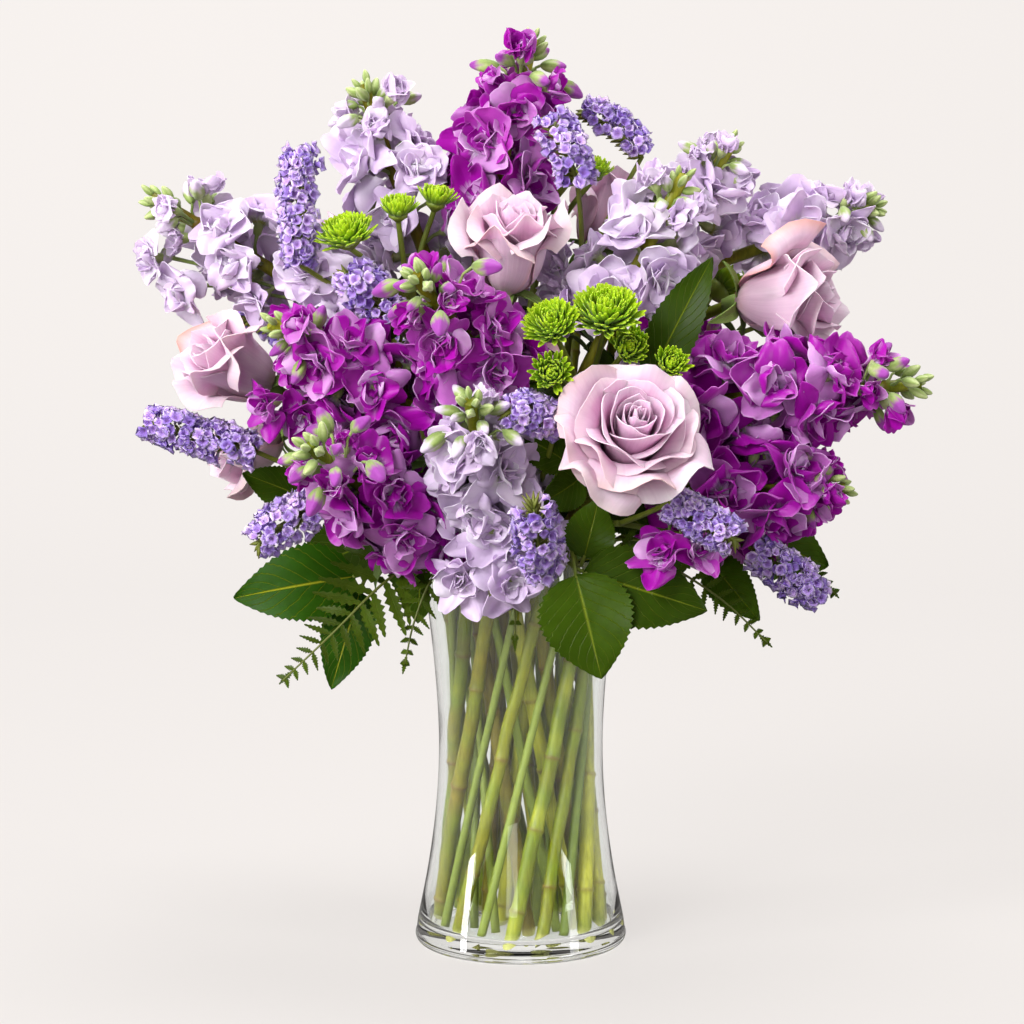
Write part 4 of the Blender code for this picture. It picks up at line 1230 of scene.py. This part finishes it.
ROSE_LEAF_SEATS, STOCK_LEAF_SEATS = (0.72, 0.8, 0.88), (0.66, 0.7, 0.75)  # shares of the stem's length
STOCK_LEAF = leaf_green("stock_leaf", (0.13, 0.19, 0.055), (0.28, 0.36, 0.14), 4, 0.45)
ROSE_LEAFLETS = ((30, 0, 1.0), (17, 1, 0.85), (17, -1, 0.85))  # place on the stalk, side and size


def stock_blade_outline(v):
    return math.sin(math.pi * v ** 0.85) ** 0.8 * (1 - 0.3 * v) + 0.03


def leaf_seats(path, shares, rng):
    """Where each leaf leaves a stem, the stem's heading there, and the way out, round the stem in turn."""
    turn = rng.uniform(0, math.tau)
    for share in shares:
        place, ahead = along(path, share)
        out = Matrix.Rotation(turn, 3, ahead) @ ahead.orthogonal().normalized()
        yield place, ahead, out, (out + ahead * 0.5).normalized()
        turn += GOLDEN_TURN


for index, name in enumerate(rose_names):
    rng = random.Random(900 + index)
    blades, green = new_mesh("tone"), new_mesh("tone", "rise")
    for place, ahead, _, way in leaf_seats(stem_paths[name], ROSE_LEAF_SEATS, rng):
        end = place + way * 30
        sweep(green, bezier(place, place + way * 10, end - way * 10, end, 4), (1.0, 0.9, 0.85, 0.8, 0.7), 6,
              tone=rng.random(), rise=0.3)
        side = way.cross(ahead).normalized()
        up = side.cross(way).normalized()
        for reach, hand, size in ROSE_LEAFLETS:
            heading = (way + side * hand * 1.6 + up * rng.uniform(-0.2, 0.2)).normalized()
            strap(blades, place + way * reach, heading, up, 36 * size * rng.uniform(0.85, 1.1),
                  12.5 * size * rng.uniform(0.9, 1.1), leaf_outline, rng.uniform(10, 40), 6, LEAF_ROWS,
                  fold=rng.uniform(0.1, 0.25), tone=rng.random(), teeth=leaf_teeth, ripple=1.0,
                  phase=rng.uniform(0, 6))
    add_sheets(f"{name}_stem_leaves", blades, LEAF_THICKNESS, ROSE_LEAF, "leaf")
    add_green(f"{name}_leaf_stalks", green, MUM_GREEN)
for index, name in enumerate(stock_names):
    rng = random.Random(950 + index)
    blades = new_mesh("tone")
    for place, ahead, out, way in leaf_seats(stem_paths[name], STOCK_LEAF_SEATS, rng):
        strap(blades, place + out * 2.5, way, ahead, rng.uniform(38, 52), rng.uniform(4.5, 6.5),
              stock_blade_outline, rng.uniform(35, 75), 4, 14, fold=0.3, tone=rng.random(), ripple=0.8,
              phase=rng.uniform(0, 6))
    add_sheets(f"{name}_stem_leaves", blades, LEAF_THICKNESS, STOCK_LEAF, "leaf")


# --------------------------------------------------------------------------------------------------------
# The studio
# A pale sweep of paper that glows a little, dark flags that only the glass shows, a broad window light from
# the left and front, and weaker ones round it.

PAPER_WIDTH, PAPER_FRONT, PAPER_BACK = 14, -7, 9  # metres, as is all of the studio
BEND_START, BEND_RADIUS = 1.2, 1.6
CAMERA_PLACE, CAMERA_PITCH, CAMERA_LENS = (-0.0045, -1.6, 0.419), 83, 111.4
LAMPS = {  # its place, the height it is aimed at, its width and height, and its watts
    "window_left": ((-1.3, -1.7, 1.5), 0.28, (0.95, 1.5), 66),
    "window_right": ((1.75, -1.0, 0.85), 0.25, (0.4, 1.6), 15),
    "low_window_left": ((-1.8, -0.85, 0.6), 0.2, (0.3, 1.1), 21),
    "front_fill": ((-0.5, -2.4, 0.45), 0.25, (0.6, 0.9), 8),
    "top_light": ((0.2, 0.1, 2.0), 0.3, (1.0, 1.0), 30),
    "back_fill": ((-0.5, 2.2, 1.9), 0.25, (1.2, 1.0), 16),
}


def add_to_studio(name, data, material=None):
    thing = bpy.data.objects.new(name, data)
    bpy.context.scene.collection.objects.link(thing)
    if material:
        data.materials.append(material)
    return thing


paper = bmesh.new()
bmesh.ops.create_grid(paper, x_segments=4, y_segments=120, size=1)
for vert in paper.verts:
    far = lerp(PAPER_FRONT, PAPER_BACK, (vert.co.y + 1) / 2)
    angle = min(math.pi / 2, max(0, (far - BEND_START) / BEND_RADIUS))
    past = max(0, far - BEND_START - BEND_RADIUS * math.pi / 2)
    vert.co = Vector((vert.co.x * PAPER_WIDTH / 2, min(far, BEND_START) + BEND_RADIUS * math.sin(angle),
                      BEND_RADIUS * (1 - math.cos(angle)) + past))
pale_paper, nodes = new_material("pale_paper")
split = nodes.add("SeparateXYZ", {0: nodes.add("TexCoord", out="Object")}).node.outputs
sideways = nodes.sums("ABSOLUTE", split["X"])
away = nodes.sums("MAXIMUM", split["Y"], nodes.sums("SUBTRACT", sideways, 1.2))
away = nodes.sums("MAXIMUM", away, nodes.plus_times(split["Y"], -1, -1.6))
# the paper's own light rises away from the foot of the vase
glow = nodes.add("MapRange", {"Value": away, "From Min": -0.6, "From Max": 2.8, "To Min": 0.71,
                              "To Max": 0.895}, "Result")
# the share of painted shade across the paper's sides
painted_dark_sides = nodes.add("MapRange", {"Value": sideways, "From Min": 0.8, "From Max": 1.5}, "Result")
ray = nodes.add("LightPath").node.outputs
seen = nodes.sums("SUBTRACT", 1, nodes.times(ray["Is Diffuse Ray"], 0.84))
mirrored = nodes.sums("GREATER_THAN", ray["Is Glossy Ray"], ray["Is Transmission Ray"])
seen = nodes.sums("SUBTRACT", seen, nodes.times(mirrored, 0.9))
# painted shade: the paper's base colour is near black at both sides, so the lamps there leave no bright pool
# on it
nodes.skin({"Base Color": nodes.blend(painted_dark_sides, (0.13, 0.124, 0.12), (0.015, 0.0145, 0.014)),
            "Emission Strength": nodes.times(glow, seen), "Emission Color": (0.9, 0.858, 0.832),
            "Roughness": 0.9, "Specular IOR Level": 0.1})
add_to_studio("paper_sweep", as_data("paper_sweep", paper), pale_paper)

for side in (-1, 1):
    flag = bmesh.new()
    upright = Matrix.Translation((side * 0.5, -0.2, 0.57)) @ Matrix.Rotation(math.pi / 2, 4, "Y")
    bmesh.ops.create_grid(flag, x_segments=1, y_segments=1, size=0.5, matrix=upright)
    flag_black, nodes = new_material("flag_black")
    nodes.skin({"Base Color": (0.03, 0.03, 0.03)})
    dark_flag = add_to_studio("dark_flag", as_data("dark_flag", flag), flag_black)
    dark_flag.visible_camera = dark_flag.visible_diffuse = False
    dark_flag.visible_glossy = dark_flag.visible_shadow = False

for name, (place, aim, (width, height), watts) in LAMPS.items():
    light = bpy.data.lights.new(name, "AREA")
    light.shape = "RECTANGLE"
    light.size, light.size_y, light.energy = width, height, watts
    lamp = add_to_studio(name, light)
    lamp.location = place
    lamp.rotation_euler = (Vector((0, 0, aim)) - Vector(place)).to_track_quat("-Z", "Y").to_euler()
    lamp.visible_glossy = not name.endswith("_fill")

world = bpy.data.worlds.new("studio_air")  # bright through the glass, but dark as glossy skins mirror it
world.use_nodes = True
nodes = Nodes(world.node_tree)
air = world.node_tree.nodes["Background"].inputs
ray = nodes.add("LightPath").node.outputs
mirrored = nodes.sums("GREATER_THAN", ray["Is Glossy Ray"], ray["Is Transmission Ray"])
strength = nodes.plus_times(ray["Is Diffuse Ray"], -0.73, 0.89)
nodes.feed(air["Color"], (0.9, 0.862, 0.838))
nodes.feed(air["Strength"], nodes.plus_times(mirrored, -0.8, strength))
bpy.context.scene.world = world
bpy.context.scene.view_settings.view_transform = "Standard"

camera = add_to_studio("camera", bpy.data.cameras.new("camera"))
camera.location = CAMERA_PLACE
camera.rotation_euler = (math.radians(CAMERA_PITCH), 0, 0)
camera.data.lens = CAMERA_LENS
bpy.context.scene.camera = camera
